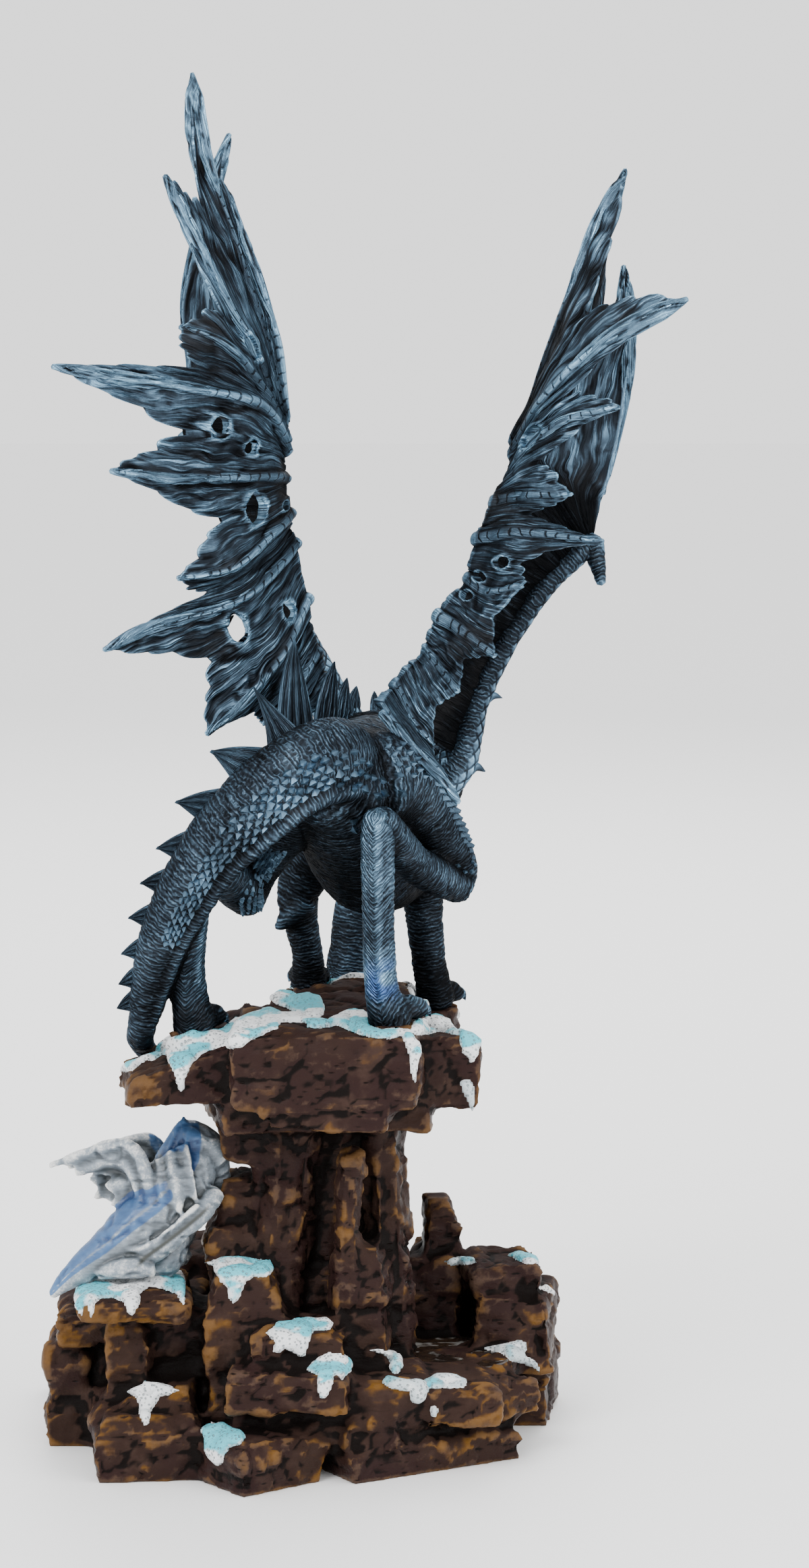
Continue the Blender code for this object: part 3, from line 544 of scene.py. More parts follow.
def skinMaterial():
    recipe = Recipe("dragonSkin")
    look = dragonPaint
    flow = recipe.attribute("flow", "Vector")
    around = recipe.part(flow, 0)
    along = recipe.part(flow, 1)
    relief = recipe.attribute("relief")
    scales = recipe.attribute("scales")
    bright = recipe.attribute("bright")
    cobalt = recipe.attribute("cobalt")
    grain = recipe.noise(recipe.place, 900.0, 3.0, 0.6) - 0.5
    patch = recipe.noise(recipe.place, 55.0, 2.0) - 0.5
    wander = recipe.noise(flow, 0.22, 2.0) * 2.2 + recipe.noise(flow, 0.8, 1.0) * 0.6
    rings = ((along / look["ringPitch"] + wander) * (2 * math.pi)).sine() * 0.5 + 0.5
    gaps = recipe.noise(recipe.vector(around * 0.35, along * 0.9), 1.0, 1.0).eased(0.42, 0.6)
    rings = rings * (0.6 + gaps * 0.4)
    first = (along / look["scaleLength"] + around / look["scaleWidth"]).fraction()
    second = (along / look["scaleLength"] - around / look["scaleWidth"]).fraction()
    rim = first.least(second).least((1.0 - first).least(1.0 - second)).eased(0.03, 0.2)
    lozenge = rim * (0.15 + (first + second) * 0.5)
    height = rings * (1.0 - scales) * 0.75 + lozenge * scales
    crest = rings * (1.0 - scales) * 0.30 + lozenge * scales * 0.62
    # The bright layer shifts each piece's paint, and on the body it also carries painted shade on faces
    # that look down and low on the feet.
    crest = crest + relief * 0.34 + 0.26 + patch * 0.55 + grain * 0.12 + bright
    dusty = patch.eased(0.02, 0.3) * 0.5
    colours = dragonColours(recipe, crest, grain, dusty, cobalt)
    return recipe.finish(*colours, height + grain * 0.12, 0.5, look["specular"], look["edgeTint"])


def wingMaterial():
    recipe = Recipe("wingSkin")
    look = dragonPaint
    flow = recipe.attribute("flow", "Vector")
    across = recipe.part(flow, 0)
    along = recipe.part(flow, 1)
    relief = recipe.attribute("relief")
    bone = recipe.attribute("bone")
    deep = recipe.attribute("deep")
    grain = recipe.noise(recipe.place, 900.0, 3.0, 0.6) - 0.5
    patch = recipe.noise(recipe.place, 38.0, 3.0) - 0.5
    warp = recipe.noise(recipe.vector(across * 0.10, along * 0.04), 1.0, 2.0) * 4.0
    broad = recipe.noise(recipe.vector(across * 0.42 + warp, along * 0.022), 1.0, 1.0)
    broad = ((broad - 0.5).size() * 9.0).eased(0.05, 0.9)
    streaks = recipe.noise(recipe.vector(across * 1.15 + warp * 1.6, along * 0.045), 1.0, 3.0, 0.55)
    streaks = ((streaks - 0.5).size() * 7.0).eased(0.0, 0.9)
    dash = (along / 4.2 + recipe.noise(flow, 0.15) * 1.5).fraction()
    dash = (dash - 0.5).size().eased(0.36, 0.5) * bone.eased(0.55, 0.9)
    ridge = bone.eased(0.2, 0.8)
    furrow = broad.least(streaks * 0.5 + 0.5)
    height = furrow * (1.0 - ridge * 0.75) + streaks * 0.25 + bone * 0.5 - dash * 0.5
    crest = furrow * (1.0 - ridge) * 0.32 + streaks * 0.10 + relief * 0.50 + 0.285 + patch * 0.62
    # deep darkens the fold and the skin's back next to the arm: painted shade there, over the fold's own
    # dark paint.
    crest = crest + grain * 0.16 + bone * 0.26 - dash * 0.35 - deep * 0.45
    dusty = (patch * -1.0).eased(0.02, 0.25) * 0.45
    colours = dragonColours(recipe, crest, grain, dusty)
    return recipe.finish(*colours, height + grain * 0.15, 0.6, look["specular"], look["edgeTint"])


# Camera, light and floor, in metres
stageLook = {
    "world": 1.7,
    # place, the height that it aims at, size and power
    "keyLight": ((-0.75, -1.15, 1.45), 0.25, 0.9, 26.0),
    "fillLight": ((1.15, -1.0, 0.8), 0.25, 1.0, 11.0),
    "backLight": ((0.2, 1.3, 1.2), 0.3, 1.2, 16.0),
    "floorReach": 6000.0,
    "floor": (0.96, 0.96, 0.96),
    "floorSpeckle": (0.85, 0.85, 0.85),
}


def buildStage():
    look = stageLook
    sensor = 36.0
    camera = bpy.data.objects.new("camera", bpy.data.cameras.new("camera"))
    camera.data.sensor_width = sensor
    camera.data.lens = sensor * photo["focal"] / photo["height"]
    camera.location = tuple(value / 1000 for value in photo["eye"])
    camera.rotation_euler = (math.radians(90.0) - photo["pitch"], 0.0, 0.0)
    bpy.context.scene.collection.objects.link(camera)
    bpy.context.scene.camera = camera
    for name in ("keyLight", "fillLight", "backLight"):
        place, aimHeight, size, power = look[name]
        light = bpy.data.lights.new(name, "AREA")
        light.size = size
        light.energy = power
        holder = bpy.data.objects.new(name, light)
        holder.location = place
        way = Vector((0.0, 0.0, aimHeight)) - Vector(place)
        holder.rotation_euler = way.to_track_quat("-Z", "Y").to_euler()
        bpy.context.scene.collection.objects.link(holder)
    world = bpy.data.worlds.new("studio")
    world.use_nodes = True
    sky = world.node_tree.nodes["Background"]
    sky.inputs["Color"].default_value = (1.0, 1.0, 1.0, 1.0)
    sky.inputs["Strength"].default_value = look["world"]
    bpy.context.scene.world = world
    reach = look["floorReach"]
    corners = [(-reach, -reach, 0), (reach, -reach, 0), (reach, reach, 0), (-reach, reach, 0)]
    floor = makeObject("floor", corners, [(0, 1, 2, 3)])
    recipe = Recipe("paleFloor")
    speckle = recipe.noise(recipe.place, 3.0) * 0.04
    tone = recipe.mix(speckle, look["floor"], look["floorSpeckle"])
    floor.data.materials.append(recipe.finish(tone, 0.6, 0.0, speckle, 0.05))
    print("stage ready")


def deliver(item, node, smooth=True):
    item.data.polygons.foreach_set("use_smooth", [smooth] * len(item.data.polygons))
    item.data.update()
    low, high = (np.array(corner) / metre for corner in cadBox)
    moveTo(item, np.clip(places(item), low, high))
    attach(item, "root")
    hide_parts(node)
    print("finished", item.name, len(item.data.polygons))


buildStage()

# Rock plinth: the CAD solid remeshed and chipped
rockLook = {
    "voxel": 1.5,
    "chipSize": 9.5,
    "chipDepth": 1.7,
    "gougeDepth": 0.55,
    "pitSize": 3.4,
    "pitDepth": 0.7,
    "columnDepth": 0.8,
    "blockSize": 25.0,
    "blockHeight": 17.0,
    "blockStep": 1.6,
    "crackDepth": 0.8,
    # how high the pillar's columns start and end, each from nothing to full depth, and the
    # pillar's middle and reach
    "columnStart": (42, 60),
    "columnEnd": (104, 118),
    "pillar": (8, -10, 46),
    "umber": (0.0205, 0.0100, 0.0092),
    "brown": (0.026, 0.0140, 0.0105),
    "tan": (0.044, 0.025, 0.019),
    "ochre": (0.115, 0.052, 0.009),
    "pale": (0.16, 0.10, 0.065),
    "wash": (0.0045, 0.0028, 0.0024),
    # hollow is painted shade in deep recesses, together with a dark wash there
    "hollow": (0.0040, 0.0026, 0.0023),
    "pit": (0.0060, 0.0036, 0.0030),
}
snowLook = {
    "thickness": 1.5,
    "shoulder": 1.1,
    "lumps": 0.45,
    "white": (0.80, 0.82, 0.83),
    "turquoise": (0.10, 0.50, 0.60),
    "shade": (0.24, 0.36, 0.40),
    "pore": (0.25, 0.31, 0.33),
}

# Outlines of the snow as the photograph shows them, in its pixels, each with the range of depth
# in millimetres that it may lie in.
snowOutlines = {
    "ledgeLeft": ((-75, 70), [
        (177, 1591), (186, 1580), (213, 1569), (229, 1564), (235, 1551), (250, 1539), (275, 1534),
        (288, 1528), (289, 1520), (293, 1528), (325, 1530), (349, 1513), (380, 1500), (401, 1496),
        (418, 1504), (437, 1504), (459, 1510), (485, 1516), (505, 1505), (524, 1498), (540, 1500),
        (549, 1508), (550, 1524), (568, 1527), (589, 1523), (606, 1528), (619, 1545), (623, 1563),
        (619, 1581), (619, 1603), (615, 1607), (609, 1589), (607, 1566), (602, 1551), (595, 1536),
        (579, 1542), (558, 1540), (532, 1534), (513, 1527), (500, 1521), (475, 1526), (456, 1524),
        (454, 1518), (418, 1516), (413, 1525), (401, 1530), (375, 1542), (356, 1555), (339, 1556),
        (333, 1551), (312, 1558), (295, 1568), (285, 1577), (276, 1597), (273, 1618), (266, 1621),
        (260, 1599), (251, 1577), (249, 1566), (241, 1564), (229, 1572), (213, 1574), (197, 1589)]),
    "ledgeLump": ((-40, 70), [
        (394, 1478), (406, 1470), (427, 1470), (440, 1478), (458, 1475), (475, 1480), (481, 1492),
        (480, 1506), (470, 1511), (448, 1507), (427, 1496), (406, 1488)]),
    "ledgeRight": ((-75, 70), [
        (606, 1528), (615, 1514), (630, 1510), (647, 1506), (665, 1511), (670, 1523), (682, 1532),
        (679, 1536), (652, 1530), (636, 1534), (617, 1536)]),
    "ledgeCorner": ((-75, 70), [
        (680, 1528), (700, 1534), (710, 1545), (711, 1563), (703, 1574), (698, 1578), (694, 1568),
        (686, 1561), (683, 1549)]),
    "ledgeCornerLow": ((-75, 70), [
        (681, 1605), (688, 1602), (698, 1603), (704, 1613), (704, 1633), (700, 1655), (696, 1639),
        (687, 1623)]),
    "ledgeFar": ((-20, 70), [
        (604, 1466), (627, 1464), (633, 1482), (632, 1499), (625, 1503), (614, 1488)]),
    "hatchlingSlab": ((-75, 20), [
        (110, 1921), (113, 1905), (139, 1900), (213, 1899), (216, 1885), (239, 1883), (270, 1888),
        (274, 1900), (275, 1921), (273, 1937), (268, 1931), (262, 1920), (239, 1911), (222, 1909),
        (208, 1919), (206, 1937), (197, 1951), (190, 1947), (184, 1932), (166, 1925), (152, 1926),
        (142, 1932), (137, 1954), (132, 1954), (130, 1937), (126, 1936), (123, 1952), (117, 1950),
        (113, 1937)]),
    "tallBlock": ((-75, 10), [
        (305, 1872), (322, 1867), (354, 1865), (401, 1870), (405, 1886), (396, 1894), (375, 1895),
        (365, 1902), (356, 1926), (346, 1934), (339, 1926), (336, 1908), (327, 1902), (320, 1882)]),
    "midLump": ((-80, -10), [
        (394, 1978), (411, 1962), (448, 1958), (485, 1957), (494, 1965), (489, 1973), (465, 1974),
        (460, 1989), (453, 2010), (447, 2014), (435, 2006), (422, 2000), (414, 2008), (404, 2005),
        (408, 1990)]),
    "midStep": ((-80, -10), [
        (454, 2031), (469, 2016), (485, 2006), (505, 2007), (520, 2019), (519, 2035), (508, 2047),
        (497, 2039), (494, 2052), (485, 2073), (476, 2075), (470, 2062), (471, 2041)]),
    "stepRight": ((-80, 0), [
        (548, 2003), (563, 2001), (584, 2005), (596, 2012), (599, 2026), (592, 2036), (584, 2040),
        (578, 2031), (579, 2017), (568, 2009)]),
    "poolRim": ((-80, 0), [
        (566, 2050), (573, 2043), (594, 2046), (626, 2049), (647, 2040), (678, 2041), (694, 2051),
        (688, 2059), (657, 2060), (636, 2059), (631, 2075), (619, 2082), (609, 2079), (607, 2065),
        (579, 2060)]),
    "drop": ((-80, 0), [(639, 2086), (645, 2084), (651, 2092), (647, 2103), (640, 2101), (638, 2094)]),
    "rightRock": ((-80, 20), [
        (717, 2000), (741, 1995), (767, 1988), (781, 1990), (783, 2003), (776, 2010), (793, 2018),
        (801, 2027), (800, 2036), (791, 2029), (772, 2022), (758, 2019), (746, 2009)]),
    "lowLeft": ((-80, 0), [
        (189, 2065), (213, 2057), (215, 2046), (219, 2054), (251, 2056), (266, 2063), (249, 2070),
        (238, 2071), (233, 2080), (224, 2094), (221, 2113), (213, 2115), (207, 2102), (206, 2083),
        (200, 2071)]),
    "lowFront": ((-90, -10), [
        (296, 2121), (312, 2111), (331, 2110), (345, 2121), (356, 2123), (364, 2132), (357, 2143),
        (341, 2147), (333, 2159), (331, 2170), (324, 2174), (312, 2165), (305, 2152), (304, 2136)]),
    "rightBlock": ((-20, 60), [
        (752, 1862), (772, 1858), (793, 1865), (798, 1874), (783, 1876), (764, 1868)]),
    "rightLow": ((-20, 60), [
        (659, 1871), (678, 1865), (704, 1867), (706, 1873), (688, 1877), (668, 1877)]),
    "rightSide": ((-20, 60), [
        (796, 1909), (809, 1908), (820, 1915), (821, 1921), (806, 1915)]),
}

# Snow on the sides that the photograph doesn't show, drawn from above in millimetres
snowBehind = {
    "ledgeBack": ((120, 152), [
        (-8, 62), (-2, 50), (8, 56), (18, 50), (30, 54), (44, 48), (56, 58), (50, 66), (30, 64),
        (12, 68), (0, 66)]),
    "backRocks": ((12, 60), [
        (-40, 66), (-30, 52), (-14, 56), (-4, 62), (-8, 72), (-24, 78)]),
    "backStep": ((12, 60), [(4, 62), (16, 56), (30, 60), (34, 70), (22, 78), (10, 74)]),
}


def photoPixels(points):
    offset = points - np.array(photo["eye"])
    ahead = np.array([0.0, math.cos(photo["pitch"]), -math.sin(photo["pitch"])])
    above = np.array([0.0, math.sin(photo["pitch"]), math.cos(photo["pitch"])])
    depth = offset @ ahead
    right, down = photo["middle"]
    right = right + photo["focal"] * offset[:, 0] / depth
    down = down - photo["focal"] * (offset @ above) / depth
    return np.stack([right, down], axis=1)


def insideBy(points, outline):
    # Signed distance to an outline, positive inside.
    corners = np.array(outline, float)
    best = np.full(len(points), 1e9)
    inside = np.zeros(len(points), bool)
    for a, b in zip(corners, np.roll(corners, -1, axis=0)):
        span = b - a
        share = np.clip(((points - a) @ span) / (span @ span), 0, 1)
        best = np.minimum(best, np.linalg.norm(points - a - share[:, None] * span, axis=1))
        crosses = (a[1] > points[:, 1]) != (b[1] > points[:, 1])
        where = a[0] + (points[:, 1] - a[1]) / (span[1] if span[1] else 1e-9) * span[0]
        inside ^= crosses & (points[:, 0] < where)
    return np.where(inside, best, -best)


def seenByCamera(item, points, facing):
    # 1 for what the photograph's camera sees, and 0 for what lies behind something.
    clearance = 0.8
    reach = 0.6     # metres
    tree = BVHTree.FromObject(item, bpy.context.evaluated_depsgraph_get())
    seen = np.zeros(len(points))
    for index, start in enumerate(points + facing * clearance):
        way = unit(np.array(photo["eye"]) - start)
        seen[index] = tree.ray_cast(Vector(start * metre), Vector(way), reach)[0] is None
    return seen


def snowDepth(item, rock, points, facing):
    # How deep inside a snow patch each point lies, in millimetres, and below 0 where it is bare.
    nowhere = -9.0
    hidden = -3.0
    pixels = photoPixels(points)
    ripple = layeredNoise(points, 3.0, 2, 41) * 0.24
    depth = np.full(len(points), nowhere)
    for (near, far), outline in snowOutlines.values():
        here = insideBy(pixels, outline) * photo["pixel"] + ripple
        within = (points[:, 1] > near) & (points[:, 1] < far)
        depth = np.maximum(depth, np.where(within, here, nowhere))
    chosen = depth > hidden
    seen = np.zeros(len(points))
    seen[chosen] = seenByCamera(rock, points[chosen], facing[chosen])
    seen = averaged(item, seen, 3)
    depth = np.where(seen > 0.35, depth, np.minimum(depth, hidden))
    for (low, high), outline in snowBehind.values():
        here = insideBy(points[:, :2], outline) + layeredNoise(points, 4.0, 2, 43) * 0.8
        level = (points[:, 2] > low) & (points[:, 2] < high) & (facing[:, 2] > 0.1)
        depth = np.maximum(depth, np.where(level, here, nowhere))
    return depth


def rockMaterial():
    look = rockLook
    recipe = Recipe("rockPaint")
    relief = recipe.attribute("relief")
    fine = recipe.attribute("fineRelief")
    height = recipe.part(recipe.place, 2)
    large = recipe.noise(recipe.place, 28.0, 3.0, 0.6)
    middle = recipe.noise(recipe.place, 110.0, 3.0, 0.6)
    grain = recipe.noise(recipe.place, 700.0, 4.0, 0.65)
    stretched = recipe.node("ShaderNodeMapping", {0: recipe.place, 3: (1.0, 1.0, 3.2)})
    strata = recipe.noise(stretched, 120.0, 3.0, 0.6)
    pits = recipe.cells(stretched, 150.0).eased(0.05, 0.22).most(large.eased(0.4, 0.55))
    tone = recipe.mix(large.eased(0.36, 0.62), look["umber"], look["brown"])
    tone = recipe.mix(middle.eased(0.48, 0.72) * 0.7, tone, look["tan"])
    ochre = relief * 0.75 + fine * 0.45 + (large - 0.5) * 2.6 + (middle - 0.5) * 2.0
    ochre = ochre.eased(0.65, 1.5) * (0.5 + height.eased(0.02, 0.15, 0.5, 0.15))
    tone = recipe.mix(ochre, tone, look["ochre"])
    pale = (relief * 0.9 + fine * 0.8 + (grain - 0.5) * 1.5).eased(0.9, 1.8) * 0.25
    tone = recipe.mix(pale, tone, look["pale"])
    wash = fine * 0.9 + relief * 1.0 + (strata - 0.5) * 0.8 + (large - 0.5) * 1.2
    tone = recipe.mix(wash.eased(-1.0, -0.1), look["wash"], tone)
    # Painted shade: hollows that short rays can't leave, such as under the ledge, darken to the hollow
    # colour, on top of the dark wash in the rock's recesses.
    free = recipe.attribute("open").eased(0.15, 0.8) * 0.92 + 0.08
    tone = recipe.mix(free, look["hollow"], tone)
    tone = recipe.mix(pits, look["pit"], tone)
    rough = 0.38 + (middle - 0.5) * 0.35 + recipe.attribute("level") * 0.5
    bumps = strata * 0.5 + grain * 0.35 + pits * 0.4
    return recipe.finish(tone, rough, 0.0, bumps, 0.8, 0.07, 0.8)


def snowMaterial():
    look = snowLook
    recipe = Recipe("snowPaint")
    tint = recipe.attribute("tint")
    relief = recipe.attribute("relief")
    grain = recipe.noise(recipe.place, 1400.0, 3.0, 0.6)
    middle = recipe.noise(recipe.place, 140.0, 2.0)
    pores = recipe.cells(recipe.place, 820.0).eased(0.16, 0.38)
    shown = (tint + (middle - 0.5) * 1.1 + (grain - 0.5) * 0.5).eased(0.15, 0.8)
    tone = recipe.mix(shown * tint.eased(0.0, 0.2), look["white"], look["turquoise"])
    low = (relief * -1.0 + (middle - 0.5) * 0.8).eased(0.1, 0.9)
    tone = recipe.mix(low * 0.5, tone, look["shade"])
    tone = recipe.mix(pores * 0.7 + 0.3, look["pore"], tone)
    bumps = grain * 0.6 + pores * 0.7 + middle * 0.8
    return recipe.finish(tone, 0.6, 0.0, bumps, 0.9, 0.3)


def rockMove(points, facing):
    # How far each point of the rock moves out: chips, split blocks, gouges, columns and pits.
    look = rockLook
    chip = look["chipSize"]
    block = look["blockSize"]
    pit = look["pitSize"]
    upright = 1.0 - np.abs(facing[:, 2])
    inner, _, mark = cellNoise(points, (chip, chip, chip * 0.7), 3)
    move = look["chipDepth"] * ((mark - 0.5) * 0.9 - inner * 0.35)
    move += layeredNoise(points, 16.0, 3, 5)
    bent = points + np.stack([softNoise(points, 9.0, 31 + k) for k in range(3)], axis=1) * 2.2
    first, second, height = cellNoise(bent, (block, block, look["blockHeight"]), 35)
    move -= look["crackDepth"] * (1 - eased(second - first, 0.0, 0.14))
    move += (height - 0.5) * look["blockStep"]
    gouge = ridgeNoise(points, (11.0, 11.0, 3.0), 2, 9)
    move -= look["gougeDepth"] * eased(gouge, 0.72, 0.95) * upright
    x, y, reach = look["pillar"]
    pillar = eased(points[:, 2], *look["columnStart"]) * (1 - eased(points[:, 2], *look["columnEnd"]))
    pillar *= (np.hypot(points[:, 0] - x, points[:, 1] - y) < reach)
    column = ridgeNoise(points, (4.5, 4.5, 34.0), 2, 15)
    move -= look["columnDepth"] * eased(column, 0.7, 0.95) * upright * pillar
    near, _, chance = cellNoise(points, (pit * 1.3, pit * 1.3, pit * 0.8), 21)
    move -= look["pitDepth"] * (1 - eased(near, 0.12, 0.36)) * (chance > 0.55)
    return move + softNoise(points, 2.2, 25) * 0.18


def buildRock():
    rock = bpy.data.objects.new("rock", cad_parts["rock_base"].data.copy())
    bpy.context.scene.collection.objects.link(rock)
    rock.data.materials.clear()
    turnOutwards(rock, 0.02)
    remesh(rock, rockLook["voxel"], 2)
    points = places(rock)
    facing = normals(rock)
    move = rockMove(points, facing) * eased(points[:, 2], 0.2, 2.5)
    moved = points + facing * move[:, None]
    moved[:, 2] = np.where(points[:, 2] < 0.8, points[:, 2], moved[:, 2])   # the foot stays flat
    low, high = (np.array(corner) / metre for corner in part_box("rock_base"))
    moveTo(rock, np.clip(moved, low, high))
    # open measures the hollows that get painted shade
    store(rock, level=np.clip(averaged(rock, normals(rock)[:, 2], 4), 0, 1),
          relief=proudness(rock, 40, 1.6), fineRelief=proudness(rock, 6, 0.45),
          open=averaged(rock, openness(rock, 26.0), 6))
    rock.data.materials.append(rockMaterial())
    deliver(rock, "rock_base")
    return rock


def buildSnow(rock):
    # The rock's faces under the snow are copied, raised by the snow's depth and closed below.
    look = snowLook
    facing = unit(averaged(rock, normals(rock), 2))
    depth = snowDepth(rock, rock, places(rock), facing)
    work = bmesh.new()
    work.from_mesh(rock.data)
    work.verts.ensure_lookup_table()
    bare = [face for face in work.faces if max(depth[vertex.index] for vertex in face.verts) < -0.3]
    bmesh.ops.delete(work, geom=bare, context="FACES")
    bmesh.ops.subdivide_edges(work, edges=work.edges, cuts=1, use_grid_fill=True)
    mesh = bpy.data.meshes.new("snowPatches")
    work.to_mesh(mesh)
    work.free()
    patches = bpy.data.objects.new("snowPatches", mesh)
    bpy.context.scene.collection.objects.link(patches)
    points = averaged(patches, places(patches), 2)
    facing = unit(averaged(patches, normals(patches), 4))
    moveTo(patches, points)
    depth = snowDepth(patches, rock, points, facing)
    faces = [tuple(polygon.vertices) for polygon in mesh.polygons]
    bpy.data.objects.remove(patches)
    rise = np.sqrt(np.clip(depth / look["shoulder"], 0, 1)) * look["thickness"] + 0.25
    rise *= 1.0 + look["lumps"] * layeredNoise(points, 7.0, 2, 51)
    rise = np.where(depth > 0, rise, -0.9 + np.clip(depth, -1, 0) * 0.6)
    ceiling = np.array(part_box("rock_base")[1]) / metre
    outer = np.minimum(points + facing * rise[:, None], ceiling)
    inner = points - facing * 1.4
    size = len(points)
    edges = {(a, b) for face in faces for a, b in zip(face, face[1:] + face[:1])}
    walls = [(b, a, a + size, b + size) for a, b in edges if (b, a) not in edges]
    undersides = [tuple(i + size for i in reversed(face)) for face in faces]
    snow = makeObject("snow", np.vstack([outer, inner]), faces + undersides + walls)
    turnOutwards(snow)
    spots = eased(layeredNoise(points, 13.0, 3, 61) + 0.45 * (facing[:, 2] - 0.5), -0.06, 0.28)
    tint = spots * (0.35 + 0.65 * eased(depth, -0.2, 1.0)) * eased(facing[:, 2], 0.05, 0.5)
    store(snow, tint=np.concatenate([tint, tint]), relief=proudness(snow, 8, 0.4))
    snow.data.materials.append(snowMaterial())
    deliver(snow, "rock_base")


# Wings: ribs run from the arm over the fold to their tips, and the skin is spread between them
wingLook = {
    "thickness": 2.3,
    "edgeThickness": 0.9,
    "boneRadius": 2.4,
    "boneTip": 1.5,
    "groovesPerLeaf": 6.0,
    "grooveDepth": 1.15,
    "waveDepth": 1.0,
    "teeth": 3.55,
    "lobes": 0.72,
    "tipShape": 0.92,
    "perRib": 32,
    "foldRows": 36,
    "leafRows": 86,
    "ribSamples": 181,
    "grooveLength": 24.0,
    "fingerStart": 60,
    "fingerRings": 64,
    "fingerSides": 20,
}
foldShare = 0.3
# Ribs from the arm over the fold to the tip, how far the skin reaches between each two of them,
# holes, the arm's rows, its spikes and the girth of each rib's end
leftWing = {
    "ribs": [
        [(-36, 48, 341), (-37, 47.5, 351), (-38, 45, 362), (-39, 41, 383), (-32, 43, 411), (-24, 45, 438)],
        [(-35, 47.5, 339), (-6, 15, 343), (-7.5, 13, 366), (-13, 13, 387), (-21, 17, 408), (-26, 21, 422)],
        [(-34, 47, 337), (-6, 14.5, 341), (-11, 11, 367), (-20, 11, 397), (-32, 14, 430), (-35.5, 20, 458)],
        [(-33, 47, 334), (-6, 14, 339), (-15, 4, 365), (-27, -2, 389), (-43, -8, 424)],
        [(-31.5, 46, 331.5), (-5, 13, 336.5), (-15, 0, 358), (-24, -10, 369), (-38, -16, 375)],
        [(-31, 46, 328), (-5, 12, 333), (-9, 2, 345), (-21, -10, 352), (-56, -32, 359), (-78, -40, 363)],
        [(-29, 46, 320), (-5, 12, 324), (-13, -2, 325), (-39, -24, 326), (-60, -34, 329)],
        [(-25, 45, 310), (-3, 10, 312), (-9, 0, 306), (-21, -12, 296), (-39, -22, 293)],
        [(-18, 43, 297), (-2, 10, 302), (-6, 2, 296), (-21, -12, 284), (-48, -24, 277), (-63, -28, 270)],
        [(-6, 37, 274), (2, 10, 283), (-5, 0, 268), (-16, -10, 253), (-30, -18, 241)],
        [(5, 30, 256), (5, 11, 265), (0, 4, 256), (-5, 0, 249), (-12, -6, 243)],
        [(11, 26, 246), (12, 13, 250), (8, 9, 248), (5, 6, 247), (2, 3, 246)],
    ],
    "notches": [0.85, 0.85, 0.82, 0.74, 0.75, 0.72, 0.7, 0.76, 0.78, 0.86, 0.9],
    # ribs across, share along, and half sizes across and along in millimetres
    "holes": [(3.1, 0.55, 3.6, 4.0), (0.9, 0.45, 2.0, 4.5), (5.4, 0.633, 3.7, 3.4), (5.6, 0.533, 2.7, 2.6),
              (6.5, 0.55, 5.0, 4.4), (6.7, 0.367, 1.5, 2.6), (8.3, 0.65, 5.2, 3.4), (8.7, 0.45, 3.4, 2.8)],
    "arm": [(14, 25, 238, 9), (9, 29, 249, 7), (1, 37, 264, 6), (-14, 45, 289, 5.2),
            (-27, 49, 318, 4.8), (-34, 48, 334, 5), (-38, 47, 342, 3.4)],
    "spikes": [((4, 38, 262), (6, 46, 262)), ((-10, 46, 284), (-9, 54, 283)),
               ((-22, 50, 306), (-22, 58, 305)), ((-38, 48, 336), (-44, 48, 333))],
    "girths": [3.1, 2.6, 4.0, 2.6, 2.0, 2.5, 2.3, 1.9, 2.4, 2.0, 1.6, 1.4],
    # how strong the painted shadow is on the skin's back next to the arm
    "innerShade": 0.3,
    "seed": 100,
}
rightWing = {
    "ribs": [
        [(98.5, 20, 303), (101, 22, 315), (105, 24, 329), (109, 22, 351), (110, 20, 370), (109, 25, 394)],
        [(97, 20, 301), (72.5, -4, 337), (79, -4, 353), (89, 2, 380), (98, 8, 403), (109, 15, 426)],
        [(95, 20, 299), (72.5, -7, 333), (82, -22, 352), (101, -35, 371), (126, -46, 385)],
        [(93, 19, 297), (70, -10, 325), (79, -20, 338), (90, -28, 346), (105, -36, 350)],
        [(89, 18, 293), (65.5, -12, 317), (75, -20, 320), (90, -28, 321)],
        [(84, 17, 288), (59.5, -12, 305), (75, -22, 308), (100, -34, 306)],
        [(76, 16, 278), (57, -12, 292), (64, -18, 288), (74, -25, 291)],
        [(68, 15, 266), (47, -13, 279.5), (57, -20, 274), (65, -27, 268)],
        [(62, 13, 253), (43, -13, 268), (49, -19, 261), (53, -25, 256)],
        [(57, 11, 240), (32.5, -17, 257.5), (38, -25, 246), (45, -31, 239)],
        [(54, 9, 229), (27, -23, 250.5), (38, -33, 238), (48, -37, 228), (53, -39, 221)],
    ],
    "notches": [0.74, 0.72, 0.65, 0.64, 0.66, 0.72, 0.8, 0.75, 0.8, 0.85],
    "holes": [(2.8, 0.5, 2.4, 5.6), (5.8, 0.45, 1.5, 2.6), (5.5, 0.583, 2.0, 2.8), (6.3, 0.42, 1.6, 2.4)],
    "arm": [(46, 8, 220, 8), (54, 10, 230, 6.5), (58.5, 12, 246, 5), (65, 14, 261, 4.6),
            (72.5, 15, 274, 4.4), (83, 17, 288, 4.2), (92.5, 19, 296.5, 4.2), (98, 20, 301, 4.2),
            (100, 19, 295, 3), (101.7, 17, 288, 1.4)],
    "spikes": [((72, 16, 272), (77.5, 17, 273.5)), ((62, 13, 249), (68.5, 13, 249.5)),
               ((57, 10, 226), (62.5, 10, 225))],
    "girths": [3.3, 3.4, 3.2, 2.2, 1.8, 1.7, 1.8, 1.6, 1.5, 1.5, 1.9],
    # how strong the painted shadow is on the skin's back next to the arm
    "innerShade": 0.8,
    "seed": 200,
}


